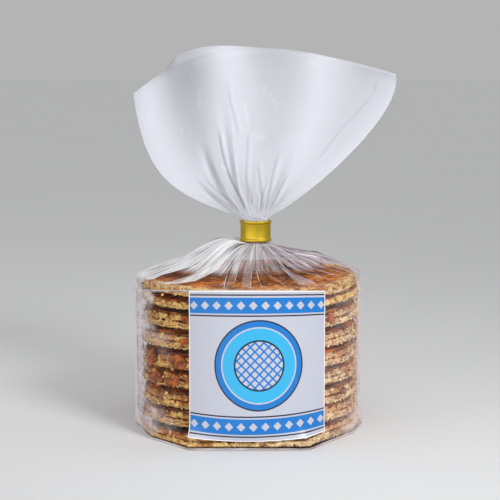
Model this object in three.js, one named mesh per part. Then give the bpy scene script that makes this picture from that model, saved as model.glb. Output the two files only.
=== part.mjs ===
// A clear bag that holds a pile of eight syrup waffles, closed at the neck by a gold clip band,
// with a label on its front. Millimetres, +Z up. The front looks along -Y, and +X is to the right
// of someone who faces it. The origin is the centre of the base, on the pile's axis.
//
// Four solids: "waffles" (the pile, as the film drawn tight round it shows it), "bag" (the film over
// it, from the rim to the lip of the fan, as one closed body), "clip" and "label".

import * as THREE from "three";

// ---- driving dimensions ----------------------------------------------------------------------

const WAFFLE_COUNT = 8;
const WAFFLE_PITCH = 6.9;                     // one waffle's thickness in the pile
const PILE_TOP = 55.9;                        // height of the top waffle's face, at its middle
const PILE_TILT = 0.6;                        // how much its right edge lies above the middle
const PILE_TOP_RADIUS = 39.2;
const BAG_GAP = 0.3;                          // between the top waffle and the bag's solid

const FILM_RADIUS = 41.3;                     // the film stands about 1.5 off the waffles' edges
const FILM_CENTRE_X = -0.4;
const SEAM_DEPTH = 0.6;                       // how far the film sinks in between two waffles
const FOOT_HEIGHT = 9;                        // over this height the folded foot becomes round

const RIM_DROP = 1.6;                         // the film starts to turn in this far below the rim
const RIM_INSET = 1.5;
const RIM_LEFT = 55.9;                        // height of the rim at the left and at the right
const RIM_RIGHT = 57.2;

const NECK_X = 2.5;                           // the neck stands a little right of the axis
const NECK_HALF_WIDTH = 4.7;
const NECK_HALF_DEPTH = 3.0;
const NECK_BOTTOM = 67.5;
const NECK_TOP = 76.2;
const PLEAT_COUNT = 18;                       // gathers that run from the rim up to the neck
const PLEAT_DEPTH = 1.1;
const PUFF_HEIGHT = 2.6;                      // air under the film, left of the neck

const FAN_CENTRE = [NECK_X + 0.4, 74];        // x, z: the lip's points lie round this point
const FAN_LEFT = -43.9;                       // degrees from upright, of the lip's two corners
const FAN_RIGHT = 41.9;
const FAN_RADIUS = 63.75;                     // free length of film above the clip
const LEFT_REACH = 1.4;                       // how much further out the lip's corners stand
const RIGHT_REACH = 9.7;
const BACK_LIP_RISE = 3.3;                    // the back layer's lip shows above the front one
const FAN_WAVES = 1.5;                        // waves in depth from corner to corner
const FAN_WAVE_DEPTH = 12;
const FAN_WAVE_START = 0.9;                   // radians
const FAN_HALF_GAP = 4.2;                     // half the way from the front layer to the back one
const LIP_HALF_GAP = 2.2;
const CREASE_COUNT = 8;                       // gathers that fan out of the neck
const CREASE_DEPTH = 1.3;

const CLIP_BOTTOM = 67.9;
const CLIP_HEIGHT = 7.7;
const CLIP_GAP = 0.3;
const CLIP_THICKNESS = 0.5;
const CLIP_RIB = 0.3;                         // raised wire along both edges
const CLIP_RIB_HEIGHT = 1.1;
const CLIP_SLIT = 9;                          // degrees left open where its ends meet, at the back

const LABEL_LEFT = -28.8;                     // degrees round the bag from the front
const LABEL_RIGHT = 40.1;
const LABEL_BOTTOM = 3.3;                     // at the front, rising to both ends
const LABEL_RISE = 7;
const LABEL_TOP = 56.2;                       // at the front, falling away to both ends
const LABEL_FALL = 6.4;
const LABEL_GAP = 0.3;
const LABEL_THICKNESS = 0.35;

// ---- how finely the solids are cut into faces -------------------------------------------------

const AROUND = 96;                            // points in each ring of the pile and the bag
const HALF = AROUND / 2;
const SHOULDER_ROWS = 9;
const FAN_ROWS = 13;
const CLIP_STEPS = 44;
const LABEL_COLUMNS = 28;
const LABEL_ROWS = 7;

// ---- helpers ----------------------------------------------------------------------------------

const radians = THREE.MathUtils.degToRad;
const mix = THREE.MathUtils.lerp;

function ease(x, from, to) {
  return THREE.MathUtils.smoothstep(x, from, to);
}

function bump(x, from, peak, to) {
  return ease(x, from, peak) * (1 - ease(x, peak, to));
}

// Ring point i lies at this angle from the front; 0 is the left end, HALF the right end.
function angleOf(i) {
  return -90 + 360 * i / AROUND;
}

// A point round a centre on the X axis, at an angle in degrees from the front.
function polar(centreX, radiusX, radiusY, degrees, z) {
  const a = radians(degrees);
  return [centreX + radiusX * Math.sin(a), -radiusY * Math.cos(a), z];
}

function ring(pointAt) {
  return Array.from({ length: AROUND }, (_, i) => pointAt(i));
}

function geometryFrom(points, triangles) {
  const geometry = new THREE.BufferGeometry();
  geometry.setAttribute("position", new THREE.Float32BufferAttribute(points.flat(), 3));
  geometry.setIndex(triangles.flat());
  geometry.computeVertexNormals();
  return geometry;
}

// Triangles between each ring and the one above it, from a list of points ring by ring.
function sideTriangles(ringCount) {
  const triangles = [];
  for (let row = 0; row + 1 < ringCount; row += 1) {
    for (let i = 0; i < AROUND; i += 1) {
      const a = row * AROUND + i;
      const b = row * AROUND + (i + 1) % AROUND;
      triangles.push([a, b, b + AROUND], [a, b + AROUND, a + AROUND]);
    }
  }
  return triangles;
}

// Triangles between a ring and the point in its middle.
function capTriangles(row, centre, facesUp) {
  return ring((i) => {
    const a = row * AROUND + i;
    const b = row * AROUND + (i + 1) % AROUND;
    return facesUp ? [a, b, centre] : [b, a, centre];
  });
}

function material(red, green, blue, roughness, metalness) {
  const color = new THREE.Color().setRGB(red, green, blue, THREE.SRGBColorSpace);
  return new THREE.MeshStandardMaterial({ color, roughness, metalness });
}

function namedMesh(name, geometry, surface) {
  const mesh = new THREE.Mesh(geometry, surface);
  mesh.name = name;
  return mesh;
}

// ---- the pile in its foot and wall of film ------------------------------------------------------

// Under the pile the film is folded flat, so its foot is a polygon with straight creases.
// Each corner is [degrees from the front, radius].
const FOOT_CORNERS = [
  [-153, 44.3], [-118, 42], [-88, 42], [-56, 41.7], [-28, 44.6],
  [28, 44.6], [68, 40.4], [88, 41.8], [118, 42], [153, 44.3],
];

// Distance from the axis to the straight crease between two corners.
function footRadius(degrees) {
  const corners = FOOT_CORNERS;
  for (let k = 0; k < corners.length; k += 1) {
    const [startAt, startRadius] = corners[k];
    const [nextAt, endRadius] = corners[(k + 1) % corners.length];
    const span = THREE.MathUtils.euclideanModulo(nextAt - startAt, 360);
    const along = THREE.MathUtils.euclideanModulo(degrees - startAt, 360);
    if (along <= span) {
      const width = startRadius * endRadius * Math.sin(radians(span));
      const near = startRadius * Math.sin(radians(along));
      const far = endRadius * Math.sin(radians(span - along));
      return width / (near + far);
    }
  }
  return FILM_RADIUS;
}

// A point of the wall, or one that stands off it by some way out.
function wallPoint(degrees, z, out) {
  const round = ease(z, 0, FOOT_HEIGHT);
  const radius = mix(footRadius(degrees), FILM_RADIUS, round) + out;
  return polar(FILM_CENTRE_X * round, radius, radius, degrees, z);
}

function wallRing(z, sunk) {
  return ring((i) => wallPoint(angleOf(i), z, -sunk));
}

// A flat foot, then for each waffle a seam below it and the two edges of its rim.
function wallRings() {
  const rings = [wallRing(0, 0)];
  for (let k = 0; k < WAFFLE_COUNT; k += 1) {
    const base = k * WAFFLE_PITCH;
    if (k > 0) {
      rings.push(wallRing(base, SEAM_DEPTH));
    }
    rings.push(wallRing(base + 0.22 * WAFFLE_PITCH, 0));
    rings.push(wallRing(base + 0.76 * WAFFLE_PITCH, 0));
  }
  return rings;
}

// The edge of the top waffle's face, or the same outline a little higher up.
function pileTopRing(lift) {
  return ring((i) => {
    const degrees = angleOf(i);
    const z = PILE_TOP + PILE_TILT * Math.sin(radians(degrees)) + lift;
    return polar(FILM_CENTRE_X, PILE_TOP_RADIUS, PILE_TOP_RADIUS, degrees, z);
  });
}

function pileGeometry() {
  const rings = [...wallRings(), pileTopRing(0)];
  const points = [...rings.flat(), [0, 0, 0], [FILM_CENTRE_X, 0, PILE_TOP]];
  const triangles = [
    ...sideTriangles(rings.length),
    ...capTriangles(0, points.length - 2, false),
    ...capTriangles(rings.length - 1, points.length - 1, true),
  ];
  return geometryFrom(points, triangles);
}

// ---- the bag: shoulder and neck -------------------------------------------------------------------

function rimHeight(degrees) {
  const toRight = (Math.sin(radians(degrees)) + 1) / 2;
  return mix(RIM_LEFT, RIM_RIGHT, toRight);
}

// The film is gathered into sharp pleats of uneven width.
function pleat(degrees) {
  const uneven = degrees + 5 * Math.sin(radians(3 * degrees + 40));
  const phase = uneven * PLEAT_COUNT / 360;
  const saw = Math.abs(2 * (phase - Math.floor(phase)) - 1);
  return saw - 0.5;
}

// t runs from 0 at the rim to 1 at the neck.
function shoulderRing(t) {
  return ring((i) => {
    const degrees = angleOf(i);
    const side = Math.sin(radians(degrees));
    const rim = rimHeight(degrees);
    const dome = mix(0.3, 0.5, (side + 1) / 2) * t * (1 - t);
    const puff = PUFF_HEIGHT * bump(t, 0.45, 0.84, 1) * ease(-side, 0.1, 0.8);
    const fold = PLEAT_DEPTH * pleat(degrees) * bump(t, 0, 0.6, 1);
    const z = rim + (NECK_BOTTOM - rim) * (t + dome) + puff + fold;
    const radiusX = mix(FILM_RADIUS - RIM_INSET, NECK_HALF_WIDTH, t);
    const radiusY = mix(FILM_RADIUS - RIM_INSET, NECK_HALF_DEPTH, t);
    return polar(mix(FILM_CENTRE_X, NECK_X, t), radiusX, radiusY, degrees, z);
  });
}

function shoulderRings() {
  const turnIn = ring((i) => {
    const degrees = angleOf(i);
    return polar(FILM_CENTRE_X, FILM_RADIUS, FILM_RADIUS, degrees, rimHeight(degrees) - RIM_DROP);
  });
  const rings = [turnIn];
  for (let row = 0; row <= SHOULDER_ROWS; row += 1) {
    rings.push(shoulderRing(row / SHOULDER_ROWS));
  }
  return rings;
}

function neckRing(z) {
  return ring((i) => polar(NECK_X, NECK_HALF_WIDTH, NECK_HALF_DEPTH, angleOf(i), z));
}

// ---- the bag: the fan of film above the clip ----------------------------------------------------

const NECK_LEFT = new THREE.Vector2(NECK_X - NECK_HALF_WIDTH, NECK_TOP);
const NECK_RIGHT = new THREE.Vector2(NECK_X + NECK_HALF_WIDTH, NECK_TOP);

// The lip is an arc round the neck, drawn out to a point at the right.
function lipPoint(s, atBack) {
  const degrees = mix(FAN_LEFT, FAN_RIGHT, s);
  const toLeft = Math.max(degrees / FAN_LEFT, 0);
  const toRight = Math.max(degrees / FAN_RIGHT, 0);
  const corner = LEFT_REACH * toLeft ** 2 + RIGHT_REACH * toRight ** 2.6;
  const rise = atBack ? BACK_LIP_RISE * ease(degrees, -32, -25) * (1 - ease(degrees, -22, 4)) : 0;
  const radius = FAN_RADIUS + corner + rise;
  const a = radians(degrees);
  return new THREE.Vector2(FAN_CENTRE[0] + radius * Math.sin(a), FAN_CENTRE[1] + radius * Math.cos(a));
}

// The side creases, from the neck to the corners of the lip: one rounded, one almost straight.
const LEFT_CREASE = new THREE.CubicBezierCurve(
  NECK_LEFT,
  new THREE.Vector2(-26, 85),
  new THREE.Vector2(-38, 87.6),
  lipPoint(0, false),
);
const RIGHT_CREASE = new THREE.CubicBezierCurve(
  NECK_RIGHT,
  new THREE.Vector2(27, 88),
  new THREE.Vector2(56, 116),
  lipPoint(1, false),
);

// Seen from the front, the fan is the patch between its neck, its two creases and its lip.
// v runs from the neck to the lip, s from the left crease to the right one.
function fanOutline(v, s, atBack) {
  const across = (1 - Math.cos(Math.PI * s)) / 2;
  const neck = NECK_LEFT.clone().lerp(NECK_RIGHT, across);
  const lip = lipPoint(s, atBack);
  const left = LEFT_CREASE.getPoint(v);
  const right = RIGHT_CREASE.getPoint(v);
  const along = neck.lerp(lip, v);
  const between = left.lerp(right, s);
  const neckChord = NECK_LEFT.clone().lerp(NECK_RIGHT, s);
  const lipChord = lipPoint(0, false).lerp(lipPoint(1, false), s);
  return along.add(between).sub(neckChord.lerp(lipChord, v));
}

function fanDepth(v, s) {
  const wave = FAN_WAVE_DEPTH * v ** 1.3 * Math.sin(2 * Math.PI * FAN_WAVES * s + FAN_WAVE_START);
  const crease = CREASE_DEPTH * bump(v, 0, 0.22, 0.85) * Math.sin(2 * Math.PI * CREASE_COUNT * s);
  return wave + crease;
}

function fanHalfGap(v, s) {
  const middle = mix(mix(NECK_HALF_DEPTH, FAN_HALF_GAP, ease(v, 0, 0.3)), LIP_HALF_GAP, ease(v, 0.5, 1));
  return middle * Math.sin(Math.PI * s);
}

function fanRing(v) {
  return ring((i) => {
    const atBack = i > HALF;
    const s = atBack ? (AROUND - i) / HALF : i / HALF;
    const outline = fanOutline(v, s, atBack);
    const gap = atBack ? fanHalfGap(v, s) : -fanHalfGap(v, s);
    return [outline.x, fanDepth(v, s) + gap, outline.y];
  });
}

function fanRings() {
  return Array.from({ length: FAN_ROWS }, (_, row) => fanRing(((row + 1) / FAN_ROWS) ** 1.25));
}

// ---- the bag: one closed body from its rings ----------------------------------------------------

function bagGeometry() {
  const rings = [
    pileTopRing(BAG_GAP),
    ...shoulderRings(),
    neckRing(NECK_TOP),
    ...fanRings(),
  ];
  const points = [...rings.flat(), [FILM_CENTRE_X, 0, PILE_TOP + BAG_GAP]];
  const triangles = [
    ...sideTriangles(rings.length),
    ...capTriangles(0, points.length - 1, false),
  ];

  const at = (row, i) => row * AROUND + i % AROUND;
  const lip = rings.length - 1;
  for (let i = 0; i < HALF; i += 1) {
    const front = at(lip, i);
    const nextFront = at(lip, i + 1);
    const back = at(lip, AROUND - i);
    const nextBack = at(lip, AROUND - i - 1);
    if (nextFront !== nextBack) {
      triangles.push([front, nextFront, nextBack]);
    }
    if (front !== back) {
      triangles.push([front, nextBack, back]);
    }
  }
  return geometryFrom(points, triangles);
}

// ---- the clip: a flat strip bent round the neck, with a wire along each edge --------------------

// [offset outward from the inner face, height], counter-clockwise seen along the strip.
function clipSection() {
  const flat = CLIP_THICKNESS;
  const proud = CLIP_THICKNESS + CLIP_RIB;
  const rib = CLIP_RIB_HEIGHT;
  const slope = 0.25;
  const top = CLIP_HEIGHT;
  return [
    [0, 0],
    [flat, 0],
    [proud, slope],
    [proud, rib - slope],
    [flat, rib],
    [flat, top - rib],
    [proud, top - rib + slope],
    [proud, top - slope],
    [flat, top],
    [0, top],
  ];
}

function clipGeometry() {
  const section = clipSection();
  const size = section.length;
  const innerX = NECK_HALF_WIDTH + CLIP_GAP;
  const innerY = NECK_HALF_DEPTH + CLIP_GAP;
  const points = [];
  for (let step = 0; step <= CLIP_STEPS; step += 1) {
    const degrees = mix(CLIP_SLIT / 2, 360 - CLIP_SLIT / 2, step / CLIP_STEPS) - 180;
    for (const [offset, height] of section) {
      points.push(polar(NECK_X, innerX + offset, innerY + offset, degrees, CLIP_BOTTOM + height));
    }
  }
  const triangles = [];
  for (let step = 0; step < CLIP_STEPS; step += 1) {
    for (let k = 0; k < size; k += 1) {
      const here = step * size + k;
      const above = step * size + (k + 1) % size;
      triangles.push([here, here + size, above + size]);
      triangles.push([here, above + size, above]);
    }
  }
  const outline = section.map(([offset, height]) => new THREE.Vector2(offset, height));
  const last = CLIP_STEPS * size;
  for (const [a, b, c] of THREE.ShapeUtils.triangulateShape(outline, [])) {
    triangles.push([a, b, c]);
    triangles.push([last + a, last + c, last + b]);
  }
  return geometryFrom(points, triangles);
}

// ---- the label: a thin sheet curved round the front of the bag ----------------------------------

function labelHeight(degrees, up) {
  const turn = 1 - Math.cos(radians(degrees));
  return mix(LABEL_BOTTOM + LABEL_RISE * turn, LABEL_TOP - LABEL_FALL * turn, up);
}

// It follows the wall, so its rows lie closer together near the foot.
function labelGeometry() {
  const inner = LABEL_GAP;
  const outer = LABEL_GAP + LABEL_THICKNESS;
  const loop = [];
  for (let row = 0; row <= LABEL_ROWS; row += 1) {
    loop.push([outer, (row / LABEL_ROWS) ** 2]);
  }
  for (let row = LABEL_ROWS; row >= 0; row -= 1) {
    loop.push([inner, (row / LABEL_ROWS) ** 2]);
  }
  const size = loop.length;
  const points = [];
  for (let column = 0; column <= LABEL_COLUMNS; column += 1) {
    const degrees = mix(LABEL_LEFT, LABEL_RIGHT, column / LABEL_COLUMNS);
    for (const [out, up] of loop) {
      points.push(wallPoint(degrees, labelHeight(degrees, up), out));
    }
  }
  const triangles = [];
  for (let column = 0; column < LABEL_COLUMNS; column += 1) {
    for (let k = 0; k < size; k += 1) {
      const here = column * size + k;
      const next = column * size + (k + 1) % size;
      triangles.push([here, here + size, next + size]);
      triangles.push([here, next + size, next]);
    }
  }
  const last = LABEL_COLUMNS * size;
  for (let row = 0; row < LABEL_ROWS; row += 1) {
    const facing = size - 1 - row;
    triangles.push([row, row + 1, facing - 1]);
    triangles.push([row, facing - 1, facing]);
    triangles.push([last + row, last + facing - 1, last + row + 1]);
    triangles.push([last + row, last + facing, last + facing - 1]);
  }
  return geometryFrom(points, triangles);
}

// ---- the pack -------------------------------------------------------------------------------------

const pack = new THREE.Group();
pack.add(namedMesh("waffles", pileGeometry(), material(0.66, 0.42, 0.2, 0.7, 0)));
pack.add(namedMesh("bag", bagGeometry(), material(0.86, 0.87, 0.91, 0.3, 0)));
pack.add(namedMesh("clip", clipGeometry(), material(0.75, 0.64, 0.21, 0.3, 1)));
pack.add(namedMesh("label", labelGeometry(), material(0.83, 0.83, 0.87, 0.5, 0)));

export default pack;
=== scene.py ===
# %% [markdown]
# # A clear bag of syrup waffles
#
# Eight thin syrup waffles lie in a pile inside a tube of clear film. The film is folded flat under
# the pile, drawn in over it in pleats and closed by a gold clip, and its free end stands up as an
# open fan. A paper label is stuck on the front.
#
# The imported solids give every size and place. The pile and the film over it are two closed bodies
# there. Here thin film goes round both, and the pile is made waffle by waffle. The clip and the label
# are made again too, with their real edges, surface and print.

# %% The fixed frame
import math
import random
from contextlib import contextmanager

import bmesh
import bpy
import numpy as np
from mathutils import Euler, Matrix, Vector, noise


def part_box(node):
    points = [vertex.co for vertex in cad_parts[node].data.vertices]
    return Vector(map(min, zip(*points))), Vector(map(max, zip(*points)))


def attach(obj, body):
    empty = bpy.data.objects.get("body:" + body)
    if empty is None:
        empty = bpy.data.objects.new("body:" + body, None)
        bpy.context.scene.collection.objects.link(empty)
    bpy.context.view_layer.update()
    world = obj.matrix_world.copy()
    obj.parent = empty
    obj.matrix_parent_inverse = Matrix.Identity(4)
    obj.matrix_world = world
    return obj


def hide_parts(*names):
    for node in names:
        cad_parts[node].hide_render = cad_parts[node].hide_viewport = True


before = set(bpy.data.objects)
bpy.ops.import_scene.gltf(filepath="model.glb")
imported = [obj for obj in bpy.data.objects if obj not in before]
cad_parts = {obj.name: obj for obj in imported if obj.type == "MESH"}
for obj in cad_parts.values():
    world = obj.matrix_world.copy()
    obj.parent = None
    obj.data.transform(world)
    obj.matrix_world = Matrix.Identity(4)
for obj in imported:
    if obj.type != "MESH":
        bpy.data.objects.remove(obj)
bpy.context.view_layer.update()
MM = 0.001
for part in sorted(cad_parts):
    low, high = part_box(part)
    print(part, "is", [round(size / MM, 1) for size in high - low], "mm")

# %% [markdown]
# ## Helpers
#
# Most curves here are eased from one value to another, and what is uneven comes from smooth noise that
# is the same in every run. A few small functions do that all over. Others start a piece from a
# primitive and finish it. Everything is deselected before a primitive is added, because an operator
# acts on all that is selected.

# %% Numbers
def clamp(x, low=0.0, high=1.0):
    return min(max(x, low), high)


def mix(start, end, share):
    return start + (end - start) * share


def ease(x, start, end):
    share = clamp((x - start) / (end - start))
    return share * share * (3 - 2 * share)


def plateau(x, start, full, fade, end):
    return ease(x, start, full) * (1 - ease(x, fade, end))


def bump(x, start, peak, end):
    return plateau(x, start, peak, peak, end)


def noise_at(x, y, z):
    """Smooth noise, from about -1 to 1."""
    return noise.noise(Vector((x, y, z)))


def sideways(degrees):
    """How far an angle lies to the side: -1 at the left, 0 at the front and 1 at the right."""
    return math.sin(math.radians(degrees))


def polar(centre_x, radius_x, radius_y, degrees, z):
    """A point at an angle from the front, which looks along -Y."""
    angle = math.radians(degrees)
    return Vector((centre_x + radius_x * math.sin(angle), -radius_y * math.cos(angle), z))


# %% Starting a piece
def deselect():
    bpy.ops.object.select_all(action="DESELECT")


def named(name):
    made = bpy.context.active_object
    made.name = name
    made.data.name = name
    return made


def pick(obj):
    deselect()
    obj.select_set(True)
    bpy.context.view_layer.objects.active = obj


def settle(obj):
    """Puts the object's place, turn and size into its mesh."""
    pick(obj)
    bpy.ops.object.transform_apply(location=True, rotation=True, scale=True)
    return obj


# %% Changing a piece
def apply_modifier(obj, kind, **settings):
    modifier = obj.modifiers.new(kind.title(), kind)
    for key, value in settings.items():
        setattr(modifier, key, value)
    pick(obj)
    bpy.ops.object.modifier_apply(modifier=modifier.name)


@contextmanager
def editing(obj):
    """Edit mode with everything selected, and object mode again afterwards."""
    pick(obj)
    bpy.ops.object.mode_set(mode="EDIT")
    bpy.ops.mesh.select_all(action="SELECT")
    yield
    bpy.ops.object.mode_set(mode="OBJECT")


def face_outwards():
    """In edit mode, turns all faces of a closed form to its outside."""
    bpy.ops.mesh.select_all(action="SELECT")
    bpy.ops.mesh.normals_make_consistent(inside=False)


def copy_of(obj, name):
    twin = obj.copy()
    twin.data = obj.data.copy()
    twin.name = name
    twin.data.name = name
    bpy.context.scene.collection.objects.link(twin)
    return twin


# %% The points of a piece
def points_of(obj):
    points = np.empty(len(obj.data.vertices) * 3)
    obj.data.vertices.foreach_get("co", points)
    return points.reshape(-1, 3)


def set_points(obj, points):
    obj.data.vertices.foreach_set("co", np.asarray(points, float).ravel())
    obj.data.update()


def add_values(obj, name, values):
    """One number for each vertex, which a material can read by its name."""
    layer = obj.data.attributes.new(name, "FLOAT", "POINT")
    layer.data.foreach_set("value", np.asarray(values, float))


# %% Finishing a piece
def hand_over(obj, nodes, material, sharp_from=None):
    """The finished piece is smoothed, takes its material, rides on the part and stands for its solids."""
    pick(obj)
    if sharp_from:
        bpy.ops.object.shade_smooth_by_angle(angle=math.radians(sharp_from))
    else:
        bpy.ops.object.shade_smooth()
    obj.data.materials.clear()
    obj.data.materials.append(material)
    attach(obj, "root")
    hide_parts(*nodes)
    low, high = (Vector(f(points_of(obj), axis=0)) for f in (np.min, np.max))
    print(obj.name, len(obj.data.polygons), "faces,", [round(x / MM, 1) for x in high - low], "mm")


# %% [markdown]
# ## The floor, the light and the camera
#
# The pack stands on a pale table. A large pale plane is enough, because the light falls off with
# distance, so the far end of it goes grey by itself. A wall would get in the way of a camera that
# looks from behind. The soft key light hangs over the right front, so the shadow falls to the left and
# the back. A wide softbox in front and a weak one on the left open up the shadows on the pack itself.

# %% The floor
FLOOR_SIZE = 8.0
FLOOR_DROP = 0.1 * MM

deselect()
bpy.ops.mesh.primitive_plane_add(size=FLOOR_SIZE, location=(0, 0, -FLOOR_DROP))
floor = settle(named("floor"))
print("floor", FLOOR_SIZE, "m wide")

# %% The softboxes
PACK_MIDDLE = (0, 0, 0.04)
# Each softbox is (name, place, width, power in watts, angle of its beam).
SOFTBOXES = [
    ("key", (0.27, -0.42, 0.34), 0.18, 0.25, 60),
    ("front_fill", (-0.2, -0.72, 0.2), 0.4, 0.11, 50),
    ("left_fill", (-0.46, -0.5, 0.17), 0.3, 0.085, 60),
]


def softbox(name, place, width, power, beam):
    """A square soft light that looks at the middle of the pack, through a grid that narrows its beam."""
    turn = (Vector(PACK_MIDDLE) - Vector(place)).to_track_quat("-Z", "Y").to_euler()
    deselect()
    bpy.ops.object.light_add(type="AREA", location=place, rotation=turn)
    light = named(name)
    light.data.size = width
    light.data.energy = power
    light.data.spread = math.radians(beam)
    light.visible_camera = False


for box in SOFTBOXES:
    softbox(*box)

# %% The light from all sides
HORIZON_GREY = 0.455
OVERHEAD_GREY = 0.57


def grey_sky():
    """A little stronger from above, and the far floor's own grey at the horizon."""
    world = bpy.data.worlds.new("soft_grey")
    world.use_nodes = True
    tree = world.node_tree
    upward = tree.nodes.new("ShaderNodeTexCoord")
    parts = tree.nodes.new("ShaderNodeSeparateXYZ")
    blend = tree.nodes.new("ShaderNodeMapRange")
    tree.links.new(upward.outputs["Generated"], parts.inputs[0])
    tree.links.new(parts.outputs["Z"], blend.inputs["Value"])
    blend.inputs["From Max"].default_value = 0.6
    blend.inputs["To Min"].default_value = HORIZON_GREY
    blend.inputs["To Max"].default_value = OVERHEAD_GREY
    tree.links.new(blend.outputs[0], tree.nodes["Background"].inputs["Color"])
    bpy.context.scene.world = world


grey_sky()
bpy.context.scene.cycles.transparent_max_bounces = 32  # light passes many layers of film
bpy.context.scene.view_settings.view_transform = "Standard"
print("sky from", HORIZON_GREY, "to", OVERHEAD_GREY)

# %% The camera
SENSOR_WIDTH = 36
IMAGE_WIDTH = 500  # pixels
FOCAL_LENGTH = 1646  # in the same pixels
LOOKING_DOWN = math.radians(7.7)
AIM = Vector((0.47, 0, 64.6)) * MM
DISTANCE = 600 * MM

back = Vector((0, -math.cos(LOOKING_DOWN), math.sin(LOOKING_DOWN)))
deselect()
turn = (math.radians(90) - LOOKING_DOWN, 0, 0)
bpy.ops.object.camera_add(location=AIM + back * DISTANCE, rotation=turn)
camera = named("camera")
camera.data.lens = SENSOR_WIDTH * FOCAL_LENGTH / IMAGE_WIDTH
camera.data.clip_start = 0.05
camera.data.clip_end = 20
bpy.context.scene.camera = camera
print("lens", round(camera.data.lens, 1), "mm")

# %% [markdown]
# ## The film's shape
#
# Bag film comes as a flat tube. So it is made here from a flat sheet that is rolled up, welded along
# one side and drawn to shape row by row: under the pile, up the wall, in over the top, through the
# neck and out into the fan. A formula gives each row its place. Sculpting by hand could give the same
# folds, but a formula keeps the film on the solid's surface and gives the same folds each time.
#
# Angles run from the front, and are negative on the left. All these lengths are in millimetres.

# %% The film's sizes
WAFFLE_COUNT = 8
FILM_THICKNESS = 0.08
FILM_RADIUS = 41.3
FILM_CENTRE_X = -0.4
FOOT_HEIGHT = 9  # above it the wall is round
CREASE_HEIGHT = 50  # of the crease round the wall, at the sides and the back
CREASE_ARCH = 6.4  # how much higher it runs at the front
CREASE_BULGE = 0.25  # how far it stands out
CREASE_GROOVE = 0.6  # how far the film draws in above it
RIM_DROP = 1.6  # the film turns in over the top within this height
RIM_INSET = 1.5  # and this width
RIM_LEFT = 55.9
RIM_RIGHT = 57.2
NECK_X = 2.5
NECK_HALF_WIDTH = 4.7
NECK_HALF_DEPTH = 3.0
NECK_BOTTOM = 67.5
NECK_TOP = 76.2
PUFF_HEIGHT = 3.3  # how much fuller the left shoulder is
SINK_DEPTH = 1.2  # how much flatter the right shoulder is
FAN_CENTRE = Vector((NECK_X + 0.4, 74))
FAN_LEFT = -43.9  # degrees round that centre
FAN_RIGHT = 41.9
FAN_RADIUS = 63.75
# Each corner of the foot is (angle, distance from the axis).
FOOT_CORNERS = [
    (-153, 44.3), (-118, 42), (-88, 42), (-56, 41.7), (-28, 44.6),
    (28, 44.6), (68, 40.4), (88, 41.8), (118, 42), (153, 44.3),
]

# %% The distances of the wall
def foot_radius(degrees):
    """Distance from the axis to the straight fold between two corners of the foot."""
    for k, (start_at, start_radius) in enumerate(FOOT_CORNERS):
        next_at, end_radius = FOOT_CORNERS[(k + 1) % len(FOOT_CORNERS)]
        span = math.radians((next_at - start_at) % 360)
        along = math.radians((degrees - start_at) % 360)
        if along <= span:
            width = start_radius * end_radius * math.sin(span)
            return width / (start_radius * math.sin(along) + end_radius * math.sin(span - along))
    return FILM_RADIUS


def wall_radius(degrees, z):
    return mix(foot_radius(degrees), FILM_RADIUS, ease(z, 0, FOOT_HEIGHT))


def wall_centre(z):
    return FILM_CENTRE_X * ease(z, 0, FOOT_HEIGHT)


def rim_height(degrees):
    return mix(RIM_LEFT, RIM_RIGHT, (sideways(degrees) + 1) / 2)


def crease_height(degrees):
    """A sharp crease runs round the wall, level with the label's top edge."""
    return CREASE_HEIGHT + CREASE_ARCH * max(math.cos(math.radians(degrees)), 0)


# %% The foot and the wall
def foot_point(degrees, t):
    radius = foot_radius(degrees) * t
    return polar(0, radius, radius, degrees, 0)


def low_wall_point(degrees, t):
    z = crease_height(degrees) * t
    pull = 0.12 * noise_at(degrees / 9, z / 30, 0)
    radius = wall_radius(degrees, z) + pull * bump(t, 0, 0.5, 1) + CREASE_BULGE * ease(t, 0.985, 1)
    return polar(wall_centre(z), radius, radius, degrees, z)


def high_wall_point(degrees, t):
    z = mix(crease_height(degrees), rim_height(degrees) - RIM_DROP, t)
    radius = FILM_RADIUS + CREASE_BULGE - CREASE_GROOVE * plateau(t, 0, 0.15, 0.3, 1)
    radius -= CREASE_BULGE * ease(t, 0.3, 1)
    return polar(FILM_CENTRE_X, radius, radius, degrees, z)


def turn_point(degrees, t):
    arc = math.radians(90 * t)
    radius = FILM_RADIUS - RIM_INSET * (1 - math.cos(arc))
    z = rim_height(degrees) - RIM_DROP * (1 - math.sin(arc))
    return polar(FILM_CENTRE_X, radius, radius, degrees, z)


print("foot corners", FOOT_CORNERS[0][1], "mm out, rim", RIM_LEFT, "to", RIM_RIGHT, "mm high")

# %% [markdown]
# ## Pleats
#
# Drawn in from 41 to 5 millimetres, the film has far too much girth, so it folds. Each fold is a ridge
# with a sharp crest that wanders from the rim to the neck. The sheet's columns follow the crests, so
# every crest stays sharp and unbroken. The film between two crests may lie double or be rumpled, and
# then it is milky there. The front folds are set one by one, and the back ones are drawn at random.

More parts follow.
